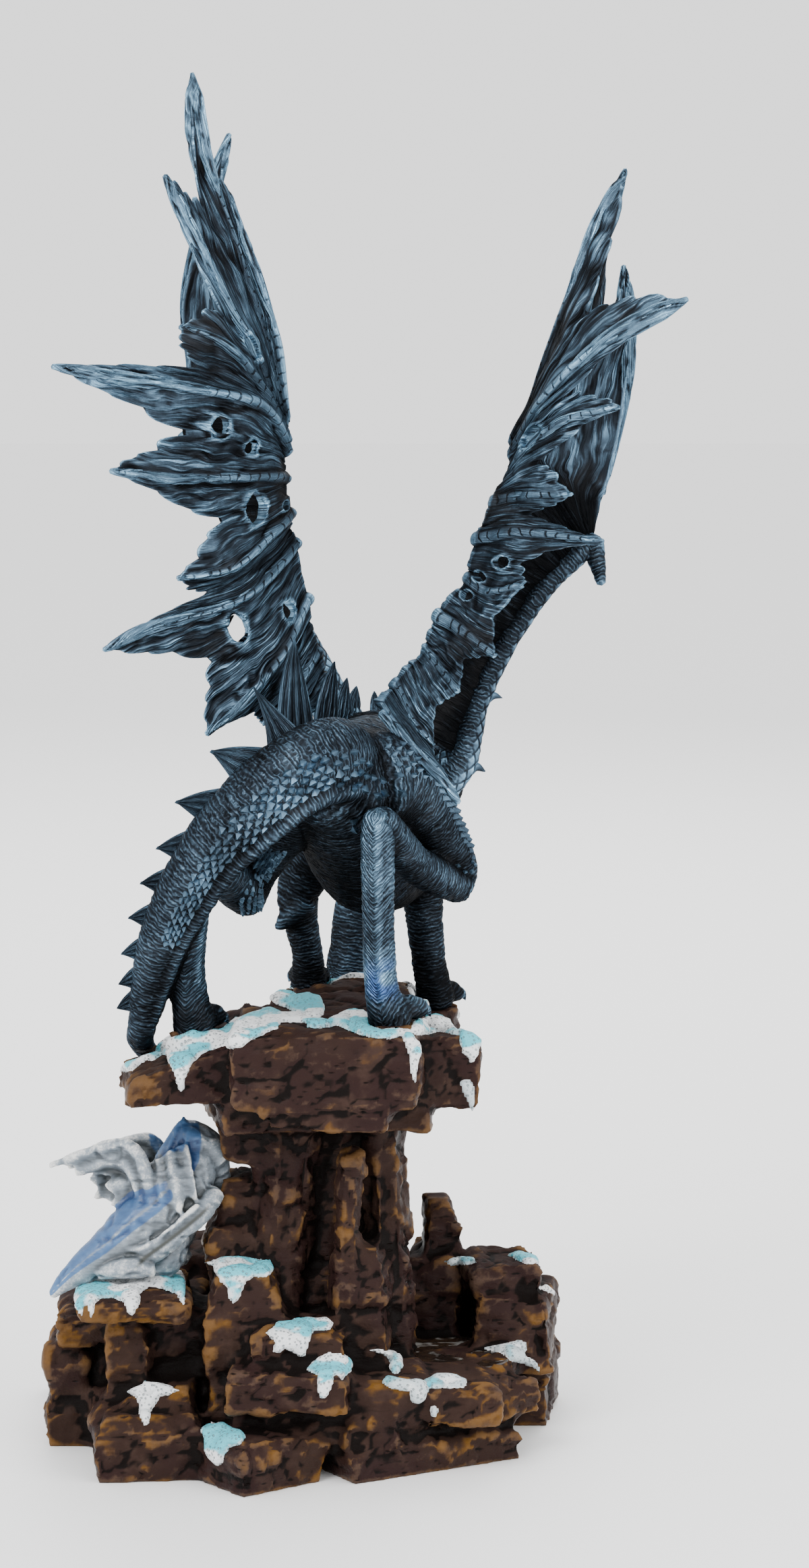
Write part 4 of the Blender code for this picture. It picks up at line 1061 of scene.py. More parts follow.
def ribLine(rib):
    # From the arm over the fold, and then smoothly through the other points to the tip.
    samples = wingLook["ribSamples"]
    fine = 60       # steps of the smooth part
    points = np.array(rib, float)
    a, b, c = points[:3]
    ahead = (c - b) * 0.35
    spine = smoothPath([(*p, 0.0) for p in points[1:]], fine + 1)[:, :3]
    line = np.zeros((samples, 3))
    for index, t in enumerate(np.linspace(0, 1, samples)):
        if t <= foldShare:
            u = t / foldShare
            h = u * u * (3 - 2 * u)
            line[index] = a * (1 - h) + b * h + (b - a) * (u - h) * 0.6 - ahead * u * u * (1 - u)
        else:
            place = (t - foldShare) / (1 - foldShare) * fine
            k = min(int(place), fine - 1)
            line[index] = spine[k] * (1 - place + k) + spine[k + 1] * (place - k)
    return line


def stair(x):
    # A flight of steps whose edges hook back a little, as overlapping lobes do.
    part = x - np.floor(x)
    return np.floor(x) + part ** 3 - 0.75 * part * (1 - part)


def leafReach(notch, u, phase):
    # How far the skin reaches towards the tips: 1 on a rib and the notch's share between two ribs.
    # Each half leaf steps down in pointed lobes, as a row of feathers does.
    look = wingLook
    start = 0.72
    end = start + look["teeth"]
    v = u ** look["tipShape"]
    v = v + 0.05 * np.sin(v * 8.0 + phase) * v * (1 - v) * 4
    steps = (stair(start + v * look["teeth"]) - stair(start)) / (stair(end) - stair(start))
    share = look["lobes"] * eased(u, 0.03, 0.16)
    return 1 - (1 - notch) * np.clip(v * (1 - share) + steps * share, 0.0, 1.06)


def wingHoles(wing, grid, facing, t):
    # The cells that the holes leave, and how far the skin's points move to round each hole's rim
    # and to raise its lip.
    along = np.gradient(grid, axis=1)
    across = np.gradient(grid, axis=0)
    keep = np.ones((len(grid) - 1, grid.shape[1] - 1), bool)
    shift = np.zeros(grid.shape)
    lip = np.zeros(grid.shape)
    for place, share, halfAcross, halfAlong in wing["holes"]:
        i = int(round(place * wingLook["perRib"]))
        q = int(np.argmin(np.abs(t[i] - share)))
        offset = grid - grid[i, q]
        wayAlong = unit(along[i, q])
        wayAcross = unit(across[i, q] - (across[i, q] @ wayAlong) * wayAlong)
        a = offset @ wayAcross
        b = offset @ wayAlong
        flat = np.stack([a.ravel(), b.ravel(), a.ravel() * 0], axis=1)
        ragged = 1 + 0.12 * softNoise(flat, 2.5, wing["seed"] + 31).reshape(t.shape)
        ring = np.sqrt((a / halfAcross) ** 2 + (b / halfAlong) ** 2) * ragged
        behind = np.abs(offset @ facing[i, q]) > 12
        ring = np.where(behind | (np.abs(t - share) > 0.25), 9.0, ring)
        inside = ring < 1
        keep &= ~(inside[:-1, :-1] & inside[1:, :-1] & inside[1:, 1:] & inside[:-1, 1:])
        out = np.where(inside, 1 / np.maximum(ring, 0.2) - 1, 0.0)[:, :, None]
        shift += (a[:, :, None] * wayAcross + b[:, :, None] * wayAlong) * out
        lip += 0.7 * np.exp(-((ring - 1.15) / 0.28) ** 2)[:, :, None] * facing
    return keep, shift, lip


def wingSkin(name, wing):
    # On the grid s counts ribs and t is the share of the way from the arm to the tips.
    look = wingLook
    seed = wing["seed"]
    spines = np.array([ribLine(rib) for rib in wing["ribs"]])
    leaves = len(spines) - 1
    s = np.arange(leaves * look["perRib"] + 1) / look["perRib"]
    k = np.minimum(s.astype(int), leaves - 1)
    f = s - k
    u = 1 - np.abs(2 * f - 1)
    reach = leafReach(np.array(wing["notches"])[k], u, k * 1.9)[:, None]
    j = np.arange(look["foldRows"] + look["leafRows"] + 1)[None, :]
    t = np.where(j <= look["foldRows"], foldShare * j / look["foldRows"],
                 foldShare + (reach - foldShare) * (j - look["foldRows"]) / look["leafRows"])
    grid, width = betweenRibs(spines, s, t)
    facing = unit(np.cross(np.gradient(grid, axis=1), np.gradient(grid, axis=0)), 1e-9)
    for _ in range(6):
        facing[1:-1] = facing[1:-1] * 0.5 + (facing[:-2] + facing[2:]) * 0.25
    facing = unit(facing, 1e-9)

    # Bones on the ribs, and grooves and waves between them.
    radius = look["boneRadius"] + (look["boneTip"] - look["boneRadius"]) * eased(t, 0.25, 1.0)
    radius *= (eased(t, 0.02, 0.3) * 0.7 + 0.3) * (1 - 0.75 * eased(t, 0.93, 1.0))
    nearRib = np.minimum(f, 1 - f)[:, None] * width
    bone = np.sqrt(np.clip(1 - (nearRib / radius) ** 2, 0, 1)) * (np.abs(s - np.round(s)) < 0.5)[:, None]
    flat = np.stack([np.broadcast_to(s[:, None], t.shape).ravel(), t.ravel(), np.zeros(t.size)], axis=1)
    warp = softNoise(flat, (0.5, 0.16, 1), seed) * 0.16 + softNoise(flat, (0.2, 0.08, 1), seed + 1) * 0.04
    length = np.cumsum(np.linalg.norm(np.diff(grid, axis=1), axis=2), axis=1)
    length = np.pad(length, ((0, 0), (1, 0)))
    lines = flat.copy()
    lines[:, 0] = (flat[:, 0] + warp) * look["groovesPerLeaf"]
    lines[:, 1] = length.ravel() / look["grooveLength"]
    crease = ridgeNoise(lines, (1.5, 1.0, 1), 2, seed + 3).reshape(t.shape)
    wave = layeredNoise(flat, (0.45, 0.14, 1), 2, seed + 8).reshape(t.shape) * look["waveDepth"]
    sag = -0.9 * u[:, None] * eased(t, 0.1, 0.4)

    # Thickness, thinner at the leaves' edges and round at the wing's two sides.
    rimFade = eased(reach - t, 0.0, 0.07)
    half = (look["edgeThickness"] + (look["thickness"] - look["edgeThickness"]) * rimFade) / 2
    half = half * (0.45 + 0.55 * eased(t, 0.0, 0.12))
    border = np.clip(np.minimum(s, leaves - s)[:, None] * width / radius, 0, 1)
    rounded = np.sqrt(np.clip(1 - (1 - border) ** 2, 0, 1)) * 0.8 + 0.2
    groove = 0.4 - eased(crease, 0.55, 0.96)
    groove = look["grooveDepth"] * groove * (1 - bone) * (0.35 + 0.65 * rimFade)
    lift = np.maximum(bone * radius - half * 0.5, groove)
    middle = grid + facing * ((wave + sag) * rimFade)[:, :, None]
    keep, shift, lip = wingHoles(wing, grid, facing, t)
    front = middle + facing * ((half + lift) * rounded)[:, :, None] + shift + lip
    back = middle - facing * ((half + lift * 0.8) * rounded)[:, :, None] + shift - lip
    item = makeObject(name, *closedSheet(front, back, keep))

    flow = np.stack([np.broadcast_to((s * 20.0)[:, None], t.shape), length, np.zeros(t.shape)], axis=2)
    # The deep layer: painted shade in the wing's fold, over the dark paint inside it, and painted shadow on
    # the skin's back next to the arm and the first ribs.
    deep = 1 - eased(t, 0.2, 0.38)
    inner = wing["innerShade"] * (1 - eased(s, 1.6, 2.0))[:, None] * (1 - 0.8 * eased(t, 0.5, 0.72))
    store(item, flow=np.vstack([flow.reshape(-1, 3)] * 2), bone=np.concatenate([bone.ravel()] * 2),
          deep=np.concatenate([deep.ravel(), np.maximum(deep, inner).ravel()]))
    turnOutwards(item)
    store(item, relief=proudness(item, 10, 0.75))
    item.data.materials.append(wingPaint)
    return item


def wingFingers(name, wing):
    # The thick ends of the ribs, drawn as tapering rods round the same lines as the skin's bones.
    look = wingLook
    rings = look["fingerRings"]
    sides = look["fingerSides"]
    shells = []
    flows = []
    for index, (rib, girth) in enumerate(zip(wing["ribs"], wing["girths"])):
        line = ribLine(rib)[look["fingerStart"]:]
        length = lengthsAlong(line)
        radius = np.interp(length[-1] - length, [0, 2.5, 9, 20, 34, 52, 70],
                           [0.75, 1.3, 0.85 * girth, girth, 0.9 * girth, 1.9, 1.2])
        flatness = 0.62 if girth > 3 else 0.9
        chosen = np.linspace(0, len(line) - 1, 28).round().astype(int)
        rows = [(*line[i], radius[i], radius[i] * flatness) for i in chosen]
        shells.append(tube(rows, rings, sides, (0.9, -0.3, 0.1)))
        flow = tubeFlow(rows, rings, sides) * (1.3, 1.0, 1.0)
        flows.append(np.column_stack([flow, np.full(len(flow), index)]))
    *flow, number = np.vstack(flows).T
    item = makeObject(name, *join(shells))
    store(item, flow=np.stack(flow, axis=1))
    turnOutwards(item)
    grain = np.stack([flow[0] / 2.2, flow[1] / 14.0, number * 5], axis=1)
    groove = ridgeNoise(grain, 1.0, 2, wing["seed"] + 41)
    push(item, 0.25 - 0.75 * eased(groove, 0.6, 0.98))
    store(item, relief=proudness(item, 8, 0.5), bone=0.35, deep=0.0)
    item.data.materials.append(wingPaint)
    return item


def claw(base, tip, radius, bend=(0.0, 0.0, 0.0)):
    rings = 9
    sides = 14
    base = np.array(base, float)
    tip = np.array(tip, float)
    middle = (base + tip) / 2 + np.array(bend, float)
    rows = [(*base, radius), (*middle, radius * 0.62), (*tip, radius * 0.06)]
    axis = np.cross(tip - base, (0.31, 0.52, 0.79))
    return tube(rows, rings, sides, axis)


def wingArm(name, wing):
    rings = 90
    sides = 36
    shells = [tube(wing["arm"], rings, sides, (0.0, 1.0, 0.0))]
    flows = [tubeFlow(wing["arm"], rings, sides)]
    for base, tip in wing["spikes"]:
        shell = claw(base, tip, 2.6, (0.0, 0.0, 1.0))
        shells.append(shell)
        flows.append(np.zeros((len(shell[0]), 3)))
    item = makeObject(name, *join(shells))
    turnOutwards(item)
    flow = np.vstack(flows)
    wrinkles = np.sin(flow[:, 1] * 2 * math.pi / (dragonPaint["ringPitch"] * 2)) * 0.12
    push(item, layeredNoise(places(item), 6.0, 2, 71) * 0.5 + wrinkles)
    scaly = eased(np.abs(flow[:, 0]), 2.0, 5.0) * (flow[:, 1] > 0.1)
    store(item, flow=flow, relief=proudness(item, 10, 0.6), scales=scaly, bright=-0.04, cobalt=0.0)
    item.data.materials.append(skinPaint)
    return item


skinPaint = skinMaterial()
wingPaint = wingMaterial()
for label, wing in (("wing_left", leftWing), ("wing_right", rightWing)):
    for ending, make in (("Skin", wingSkin), ("Fingers", wingFingers), ("Arm", wingArm)):
        deliver(make(label + ending, wing), label)

# Dragon body: limbs as tubes, remeshed to one skin and given its patterns along each limb
bodyLook = {
    "voxel": 1.0,
    "smoothing": 5,
    "wrinkleDepth": 0.16,
    "flakeSize": 1.12,
    "flakeVariation": 0.05,
}
facingAxis = (0.96, -0.28, 0.0)
# Rows of x, y, z, half width and, where it differs, half height
limbs = {
    "torso": [(8, -44, 228, 13, 13), (14, -34, 226, 19, 19), (19, -18, 221, 23, 25),
              (22, -2, 216, 24, 30), (25, 12, 211, 24, 35), (29, 26, 211, 23, 35),
              (34, 38, 216, 19, 27), (38, 48, 222, 14, 18)],
    "tail": [(16, -30, 231, 14), (11, -44, 236, 13.6), (-1, -52, 232, 12.8), (-15.2, -56, 220.6, 12),
             (-26.4, -54, 208.2, 10.8), (-34.6, -50, 194.8, 9.8), (-40.8, -45, 182.4, 8.9),
             (-45, -40, 171, 7.9), (-48.5, -34, 158, 6.6), (-51, -28, 147, 5.2),
             (-52.5, -20, 140.5, 4.6), (-53, -10, 137, 4.2), (-52, -1, 132, 3.7),
             (-48, 6, 128, 3.2), (-39, 12, 127, 2.4), (-30, 15, 129, 1.2)],
    "neck": [(34, 32, 216, 19), (40, 46, 226, 16), (43, 58, 231, 13.5), (44, 69, 228, 12.5),
             (42, 80, 217, 11.8), (36, 89, 200, 11.2), (28, 95, 182, 10.6), (21, 98, 166, 10.2),
             (18, 97.5, 150, 9.6), (15.5, 96.5, 138, 9.6), (9, 95, 129, 9.2)],
    "rightThigh": [(24, -32, 227, 16), (30, -27, 227, 16), (38.5, -20, 219.5, 11.5),
                   (47, -10, 207.5, 8.4), (53, -2, 196, 6.6), (54, 1, 189, 6)],
    "rightShin": [(54, 0, 187.5, 6), (44.5, -16, 193.6, 6.2), (36, -32, 202.4, 6.2),
                  (31, -46, 212, 5.8), (27.5, -53, 218, 5)],
    "rightFoot": [(26.8, -54, 219.5, 4.6), (26.6, -52, 211, 5.6), (26.8, -48.5, 191, 5.4),
                  (27, -45.5, 174, 5.3), (28, -43.5, 160, 5.8), (30, -43.5, 152, 7.0),
                  (31, -42, 148.5, 7.4)],
    "leftThigh": [(4, -32, 228, 15), (-5, -21, 217, 15), (-12, -10, 205, 12.5), (-17, -2, 192, 9.5),
                  (-17.5, 2, 183, 7), (-17, 3, 178.5, 4.6)],
    "leftShin": [(-17, 1, 183, 6.6), (-21, -14, 190, 7.6), (-25, -30, 197, 7.4),
                 (-28.5, -42, 203, 6.6), (-30.5, -48, 208, 6)],
    "leftFoot": [(-30.5, -47.5, 209, 5.4), (-32, -44.5, 200, 5.6), (-33.5, -40, 188, 5.4),
                 (-34.6, -36, 177, 5.3), (-35.6, -33, 166, 5.4), (-35.4, -30.5, 155, 6),
                 (-34.4, -28.5, 147.5, 7), (-34, -28, 143.5, 7.4)],
    "rightArm": [(36, 24, 212, 14), (39, 28, 198, 12), (41.5, 33, 183, 8), (42.4, 37, 169, 6.4),
                 (43.6, 41, 156, 6), (45.4, 44, 146, 6.2), (46.2, 46, 139, 6.6)],
    "leftArm": [(13, 28, 206, 13), (4, 33, 192, 10), (-1, 36, 180, 7.6), (-0.6, 39, 170, 6.2),
                (1.6, 43, 159, 5.4), (2.0, 46, 151, 5.8), (2.0, 47, 145, 6.8)],
}
# Where the toes start, which way they point in degrees, their length and their radius
pads = {
    "rightHind": ((31.0, -43.0, 148.3), 74, 17, 4.4),
    "leftHind": ((-34.0, -28.0, 143.4), 74, 14, 4.2),
    "rightFront": ((46.0, 46.0, 138.0), 74, 14, 4.2),
    "leftFront": ((2.0, 47.0, 144.0), 90, 13, 4.0),
}
# Bands of lozenge scales: the direction that each faces, scales across, where it starts and ends
# along the limb, the scales' size in millimetres and how much smaller they get
scaleBands = {
    "tail": ((0.20, -0.96, -0.14), 4, 0.02, 0.50, 4.1, 0.35),
    "rightThigh": ((0.62, -0.50, 0.60), 3, 0.12, 0.92, 2.9, 0.1),
    "rightShin": ((0.2, -0.75, 0.6), 2, 0.03, 0.45, 2.8, 0.3),
    "leftThigh": ((0.25, -0.95, -0.1), 4, 0.35, 0.95, 2.8, 0.0),
    "torso": ((0.35, -0.80, 0.45), 4, 0.10, 0.34, 3.0, 0.0),
    "neck": ((0.95, -0.2, 0.2), 4, 0.1, 0.8, 3.4, 0.2),
}
# The rounded belly band under the tail, and the ridges down the hind legs' lower parts: limb,
# direction, where each starts and ends along the limb, its share of the limb's radius, and its
# own radius at both ends
raisedBands = [
    ("tail", (0.50, -0.52, -0.69), 0.03, 0.66, 1.0, 3.7, 1.2),
    ("rightFoot", (0.0, -1.0, 0.0), 0.04, 0.80, 0.9, 2.0, 1.6),
    ("leftFoot", (0.55, -0.8, 0.0), 0.04, 0.70, 0.9, 1.8, 1.4),
]


def toeShells(pad, heading, length, radius):
    skins = []
    nails = []
    for turn in (-34, 0, 33):
        angle = math.radians(heading + turn)
        ahead = np.array((math.cos(angle), math.sin(angle)))
        start = np.array(pad[:2]) - ahead * 2.0
        knuckle = np.array(pad[:2]) + ahead * length * 0.5
        end = np.array(pad[:2]) + ahead * length * 0.82
        tip = np.array(pad[:2]) + ahead * length
        rows = [(*start, pad[2] + radius * 1.3, radius), (*knuckle, pad[2] + radius * 1.05, radius * 0.95),
                (*end, pad[2] + radius * 0.7, radius * 0.62)]
        skins.append(tube(rows, 10, 14, (-ahead[1], ahead[0], 0.0)))
        nails.append(claw((*end, pad[2] + radius * 0.75), (*tip, pad[2] + 0.5), radius * 0.55, (0, 0, 0.8)))
    return skins, nails


def limbEdge(name, way, start, end, share, count):
    # Places along a limb's surface on the side that a direction names.
    samples = 121
    path, along, _, _ = limbFrames(limbs[name], samples, facingAxis)
    way = np.array(way, float)
    off = unit(way - (along @ way)[:, None] * along)
    line = path[:, :3] + off * path[:, 3:4] * share
    chosen = np.linspace(start * (samples - 1), end * (samples - 1), count).round().astype(int)
    return line[chosen]


def limbCoordinates(points):
    # For each point the nearest limb, the distances along and round it, the outward direction,
    # and by how much that limb is nearer than the next.
    apart = 37.0
    best = np.full(len(points), 1e9)
    second = np.full(len(points), 1e9)
    flow = np.zeros((len(points), 3))
    outward = np.zeros((len(points), 3))
    owner = np.zeros(len(points), int)
    for number, rows in enumerate(limbs.values()):
        path, along, side, up = limbFrames(rows, 70, facingAxis)
        length = lengthsAlong(path[:, :3])
        radius = (path[:, 3] + path[:, 4]) / 2
        ring, nearest, ahead, radial = aroundPath(points, path, along, radius)
        angle = np.arctan2((radial * up[ring]).sum(axis=1), (radial * side[ring]).sum(axis=1))
        wins = nearest < best
        second = np.where(wins, best, np.minimum(second, nearest))
        best = np.where(wins, nearest, best)
        flow[wins, 0] = (angle * radius[ring])[wins]
        flow[wins, 1] = (length[ring] + ahead)[wins] + number * apart
        outward[wins] = radial[wins]
        owner[wins] = number
    return flow, outward, owner, second - best


finColumns = 25
finRows = 15


def leafFin(start, end, tip, thickness, pleats=4.0, bow=0.14, blunt=1.0):
    # A leaf-shaped fin: pleats run from its foot and meet at its tip.
    start = np.array(start, float)
    end = np.array(end, float)
    tip = np.array(tip, float)
    foot = end - start
    rise = tip - (start + end) / 2
    across = unit(np.cross(foot, rise))
    swell = unit(np.cross(across, foot))
    if swell @ rise < 0:
        swell = -swell
    c = np.linspace(0, 1, finColumns)[:, None, None]
    w = np.linspace(-0.22, 1, finRows)[None, :, None]
    lift = np.sin(np.pi * np.clip(w, 0, 1)) * np.linalg.norm(rise) * bow
    narrow = 1 - np.sign(w) * np.abs(w) ** blunt
    middle = (start + end) / 2 * (1 - w) + tip * w
    grid = middle + foot * (c - 0.5) * np.maximum(narrow, 0.06) + swell * lift * (1 - 1.9 * c)
    rounded = np.sqrt(np.clip(1 - (2 * c - 1) ** 2, 0, 1))
    thick = thickness * (0.25 + 0.75 * (1 - np.clip(w, 0, 1)) ** 0.8) * (0.16 + 0.84 * rounded)
    thick = thick * (1 + 0.30 * np.cos(2 * np.pi * pleats * c)) * (1 - 0.7 * np.clip(w - 0.9, 0, 1) * 10)
    return closedSheet(grid + across * thick / 2, grid - across * thick / 2)


def finFlow(shells, spread=1.6):
    # Flow for leaf fins: their striations run from the foot to the tip.
    flows = []
    for points, _ in shells:
        column, row = np.divmod(np.arange(finColumns * finRows), finRows)
        foot = np.linalg.norm(points[(finColumns - 1) * finRows] - points[0])
        side = np.stack([row * 0.8, column / (finColumns - 1) * foot * spread, column * 0.0], axis=1)
        flows += [side, side]
    return np.vstack(flows)


def flakeObject():
    # One scale, 1 mm long and pointing along +Y, with its ridge towards +Z.
    vertices = [(0, -0.52, -0.25), (0.5, 0.05, -0.25), (0, 0.66, -0.05), (-0.5, 0.05, -0.25),
                (0, -0.16, 0.20), (0.0, 0.44, 0.30)]
    faces = [(0, 1, 4), (1, 5, 4), (1, 2, 5), (2, 3, 5), (3, 4, 5), (3, 0, 4), (0, 3, 2, 1)]
    return makeObject("flake", np.array(vertices), faces)


def scaleSpots(surface):
    # Where the lozenge scales sit: place, turn and size of each.
    steepest = 0.35
    tree = BVHTree.FromObject(surface, bpy.context.evaluated_depsgraph_get())
    spots = []
    for name, (way, across, start, end, size, taper) in scaleBands.items():
        path, along, _, _ = limbFrames(limbs[name], 241, facingAxis)
        length = lengthsAlong(path[:, :3])
        way = np.array(way, float)
        place = start * length[-1]
        row = 0
        while place < end * length[-1]:
            ring = int(np.searchsorted(length, place))
            share = (place / length[-1] - start) / (end - start)
            pitch = size * (1 - taper * share)
            ahead = along[ring]
            out = unit(way - (way @ ahead) * ahead)
            turned = np.cross(ahead, out)
            radius = path[ring, 3:5].mean()
            many = max(across - row % 2 - int(share * across * 0.45), 1)
            for column in range(many):
                angle = (column - (many - 1) / 2) * pitch * 0.98 / radius
                ray = out * math.cos(angle) + turned * math.sin(angle)
                begin = path[ring, :3] + ray * (radius * 1.6 + 4)
                hit = tree.ray_cast(Vector(begin * metre), Vector(-ray), radius * 1.2 * metre)
                if hit[0] is None or hit[1].dot(Vector(ray)) < steepest:
                    continue
                up = np.array(hit[1])
                tangent = unit(ahead - (ahead @ up) * up)
                spots.append((np.array(hit[0]) / metre, tangent, up, pitch))
            place += pitch * 0.54
            row += 1
    return spots


def scaleNodes():
    # Instances one flake on every point, turned and sized by the point's own values.
    group = bpy.data.node_groups.new("scaleRows", "GeometryNodeTree")
    kinds = {"Geometry": "Geometry", "Flake": "Object", "Flake size": "Float", "Variation": "Float",
             "Paint": "Material", "Seed": "Int"}
    for name, kind in kinds.items():
        group.interface.new_socket(name, in_out="INPUT", socket_type="NodeSocket" + kind)
    group.interface.new_socket("Geometry", in_out="OUTPUT", socket_type="NodeSocketGeometry")
    rows = NodeTree(group)
    given = {name: rows.node("NodeGroupInput", output=name) for name in kinds}
    turn, span = (rows.node("GeometryNodeInputNamedAttribute", {"Name": name}, "Attribute", data_type=kind)
                  for name, kind in (("turn", "FLOAT_VECTOR"), ("span", "FLOAT")))
    limits = {"Min": 1.0 - given["Variation"], "Max": given["Variation"] + 1.0, "Seed": given["Seed"]}
    vary = rows.node("FunctionNodeRandomValue", limits, "Value", data_type="FLOAT")
    flake = rows.node("GeometryNodeObjectInfo", {"Object": given["Flake"]}, "Geometry")
    placed = rows.node("GeometryNodeInstanceOnPoints", {
        "Points": given["Geometry"], "Instance": flake, "Rotation": turn,
        "Scale": span * given["Flake size"] * vary}, "Instances")
    real = rows.node("GeometryNodeRealizeInstances", {"Geometry": placed}, "Geometry")
    painted = rows.node("GeometryNodeSetMaterial", {"Geometry": real, "Material": given["Paint"]},
                        "Geometry")
    rows.node("NodeGroupOutput", {"Geometry": painted})
    return group


def buildScales(surface):
    spots = scaleSpots(surface)
    points = makeObject("scales", np.array([spot[0] for spot in spots]), [])
    turns = []
    for _, tangent, up, _ in spots:
        basis = Matrix(np.stack([np.cross(tangent, up), tangent, up], axis=1).tolist())
        turns.append(tuple(basis.to_euler()))
    store(points, turn=np.array(turns), span=np.array([spot[3] for spot in spots]))
    flake = flakeObject()
    rows = points.modifiers.new("scaleRows", "NODES")
    rows.node_group = scaleNodes()
    values = {"Flake": flake, "Flake size": bodyLook["flakeSize"],
              "Variation": bodyLook["flakeVariation"], "Paint": skinPaint, "Seed": 4}
    for socket in rows.node_group.interface.items_tree:
        if socket.in_out == "INPUT" and socket.name in values:
            rows[socket.identifier] = values[socket.name]
    bake(points)
    bpy.data.objects.remove(flake)
    for name in ("turn", "span"):
        if name in points.data.attributes:
            points.data.attributes.remove(points.data.attributes[name])
    tops = np.array([-0.5, -0.15, 0.30, -0.15, 0.10, 0.34])     # relief at a flake's own points
    count = len(points.data.vertices)
    store(points, flow=np.zeros((count, 3)), relief=np.tile(tops, count // len(tops)), scales=0.0,
          cobalt=0.0, bright=0.17)
    deliver(points, "dragon_body", False)


# Back fins: foot, tip, the way the foot runs, half its length and the fin's thickness
dorsalFins = [
    ((0, -14, 240), (-1, -15, 272), (0.9, 0.42, 0), 7.5, 3.6),
    ((9, -1, 243), (12, 3, 263), (0.7, 0.7, 0), 5.5, 3.4),
    ((14, 12, 244), (16, 17, 256), (0.6, 0.8, 0), 4.6, 3.0),
    ((18, 22, 244), (19, 28, 252), (0.5, 0.86, 0), 4.6, 2.8),
    ((26, 35, 241), (25, 39, 249), (0.4, 0.9, 0), 4.5, 2.6),
    ((37, 50, 241), (37, 54, 249), (0.4, 0.9, 0), 4.5, 2.6),
    ((43, 65, 239), (44, 70, 247), (0.1, 0.9, -0.4), 4.5, 2.6),
    ((45, 80, 227), (48, 88, 232), (-0.2, 0.6, -0.8), 4.5, 2.6),
    ((38, 97, 203), (43, 106, 207), (-0.35, 0.3, -0.9), 4.5, 2.6),
    ((30, 104, 186), (33, 114, 189), (-0.35, 0.1, -0.9), 4.5, 2.6),
    ((22, 107, 168), (24, 116, 169), (-0.2, 0.0, -1), 4.2, 2.4),
    ((19, 105, 150), (21, 114, 150), (-0.1, 0.0, -1), 4, 2.4),
]
# Tail fins from the rump down: foot and tip. The last one only ends the row.
tailFins = [
    ((-6, -45, 243), (-12, -32, 261)), ((-15, -51, 231), (-25, -50, 242)),
    ((-26, -51, 219), (-37, -53, 226)), ((-34, -49, 206), (-44, -49, 210)),
    ((-40, -46, 194), (-49.5, -46, 198)), ((-46, -42, 182), (-54, -44, 186)),
    ((-50, -38, 171), (-57, -39, 173)), ((-53, -34, 161), (-58.5, -35, 162)),
    ((-54.5, -30, 152), (-59.5, -30, 152.5)), ((-56, -24, 145), (-59, -24, 143)),
]


def tailFinShells():
    # Each fin's foot starts well up the tail, so that the fins overlap like leaves.
    feet = np.array([foot for foot, _ in tailFins], float)
    shells = []
    for index in range(len(tailFins) - 1):
        tip = np.array(tailFins[index][1], float)
        before = feet[index - 1] if index else feet[0] + np.array([8, 6, 4])
        drop = feet[index + 1] - feet[index]
        start = feet[index] * 0.25 + before * 0.75
        end = feet[index] + drop * 0.35
        tip = tip + drop * 0.22
        shells.append(leafFin(start, end, tip, 3.2, 3.5, 0.10))
    return shells


def plainDragonPiece(name, shells, relief=4, scale=0.4, flow=None):
    item = makeObject(name, *join(shells))
    turnOutwards(item)
    points = places(item)
    if flow is None:
        flow = np.stack([points[:, 0] + points[:, 1], points[:, 2], points[:, 1] * 0], axis=1)
    store(item, flow=flow, relief=proudness(item, relief, scale), scales=0.0, bright=0.10, cobalt=0.0)
    item.data.materials.append(skinPaint)
    deliver(item, "dragon_body")


# What the body has besides its limbs: rows, rings, sides and the axis that its sides face
headAxis = (0.1, 1.0, 0.0)
bodyParts = [
    ([(15, 96, 131, 8, 9), (7, 95, 129, 10.5, 11), (-1, 94, 126.5, 11, 10.5), (-9, 93, 122.5, 8.6, 8),
      (-18, 92, 117.5, 6.6, 5.8), (-27, 91, 113.5, 5.4, 4.8), (-32, 90.5, 111.5, 4, 3.6)],
     26, 28, headAxis),
    ([(4, 94, 119, 8, 4.6), (-7, 93, 112.5, 6.8, 3.8), (-18, 92, 106.5, 5.2, 3.2),
      (-26, 91, 103.2, 3.8, 2.7), (-30, 90.5, 102.4, 2.4, 2)], 20, 20, headAxis),
    ([(34, 20, 214, 17), (42, 22, 222, 15), (46, 20, 229, 11)], 10, 24, facingAxis),
    ([(20, 22, 216, 17), (14, 24, 230, 15), (11, 26, 240, 11)], 10, 24, facingAxis),
    ([(2, 32, 178, 5), (-5, 33, 171, 3.5), (-8.5, 34, 167, 1.2)], 8, 14),
    ([(-4, 88.5, 130, 2.6), (-11, 88, 126, 2)], 6, 12),
    ([(-4, 99.5, 130, 2.6), (-11, 98.5, 126, 2)], 6, 12),
    ([(-29, 88.8, 115.6, 1.6), (-32.5, 88.6, 114.4, 1.2)], 4, 10),
    ([(-29, 92.6, 115.6, 1.6), (-32.5, 92.6, 114.4, 1.2)], 4, 10),
]
horns = [
    ([(5, 89, 134, 3.6), (14, 86, 139, 3), (22, 85, 142, 2.2), (28, 85, 146, 1.1)], 18, 14),
    ([(5, 101, 134, 3.6), (13, 105, 139, 3), (21, 107, 143, 2.2), (27, 107, 148, 1.1)], 18, 14),
]


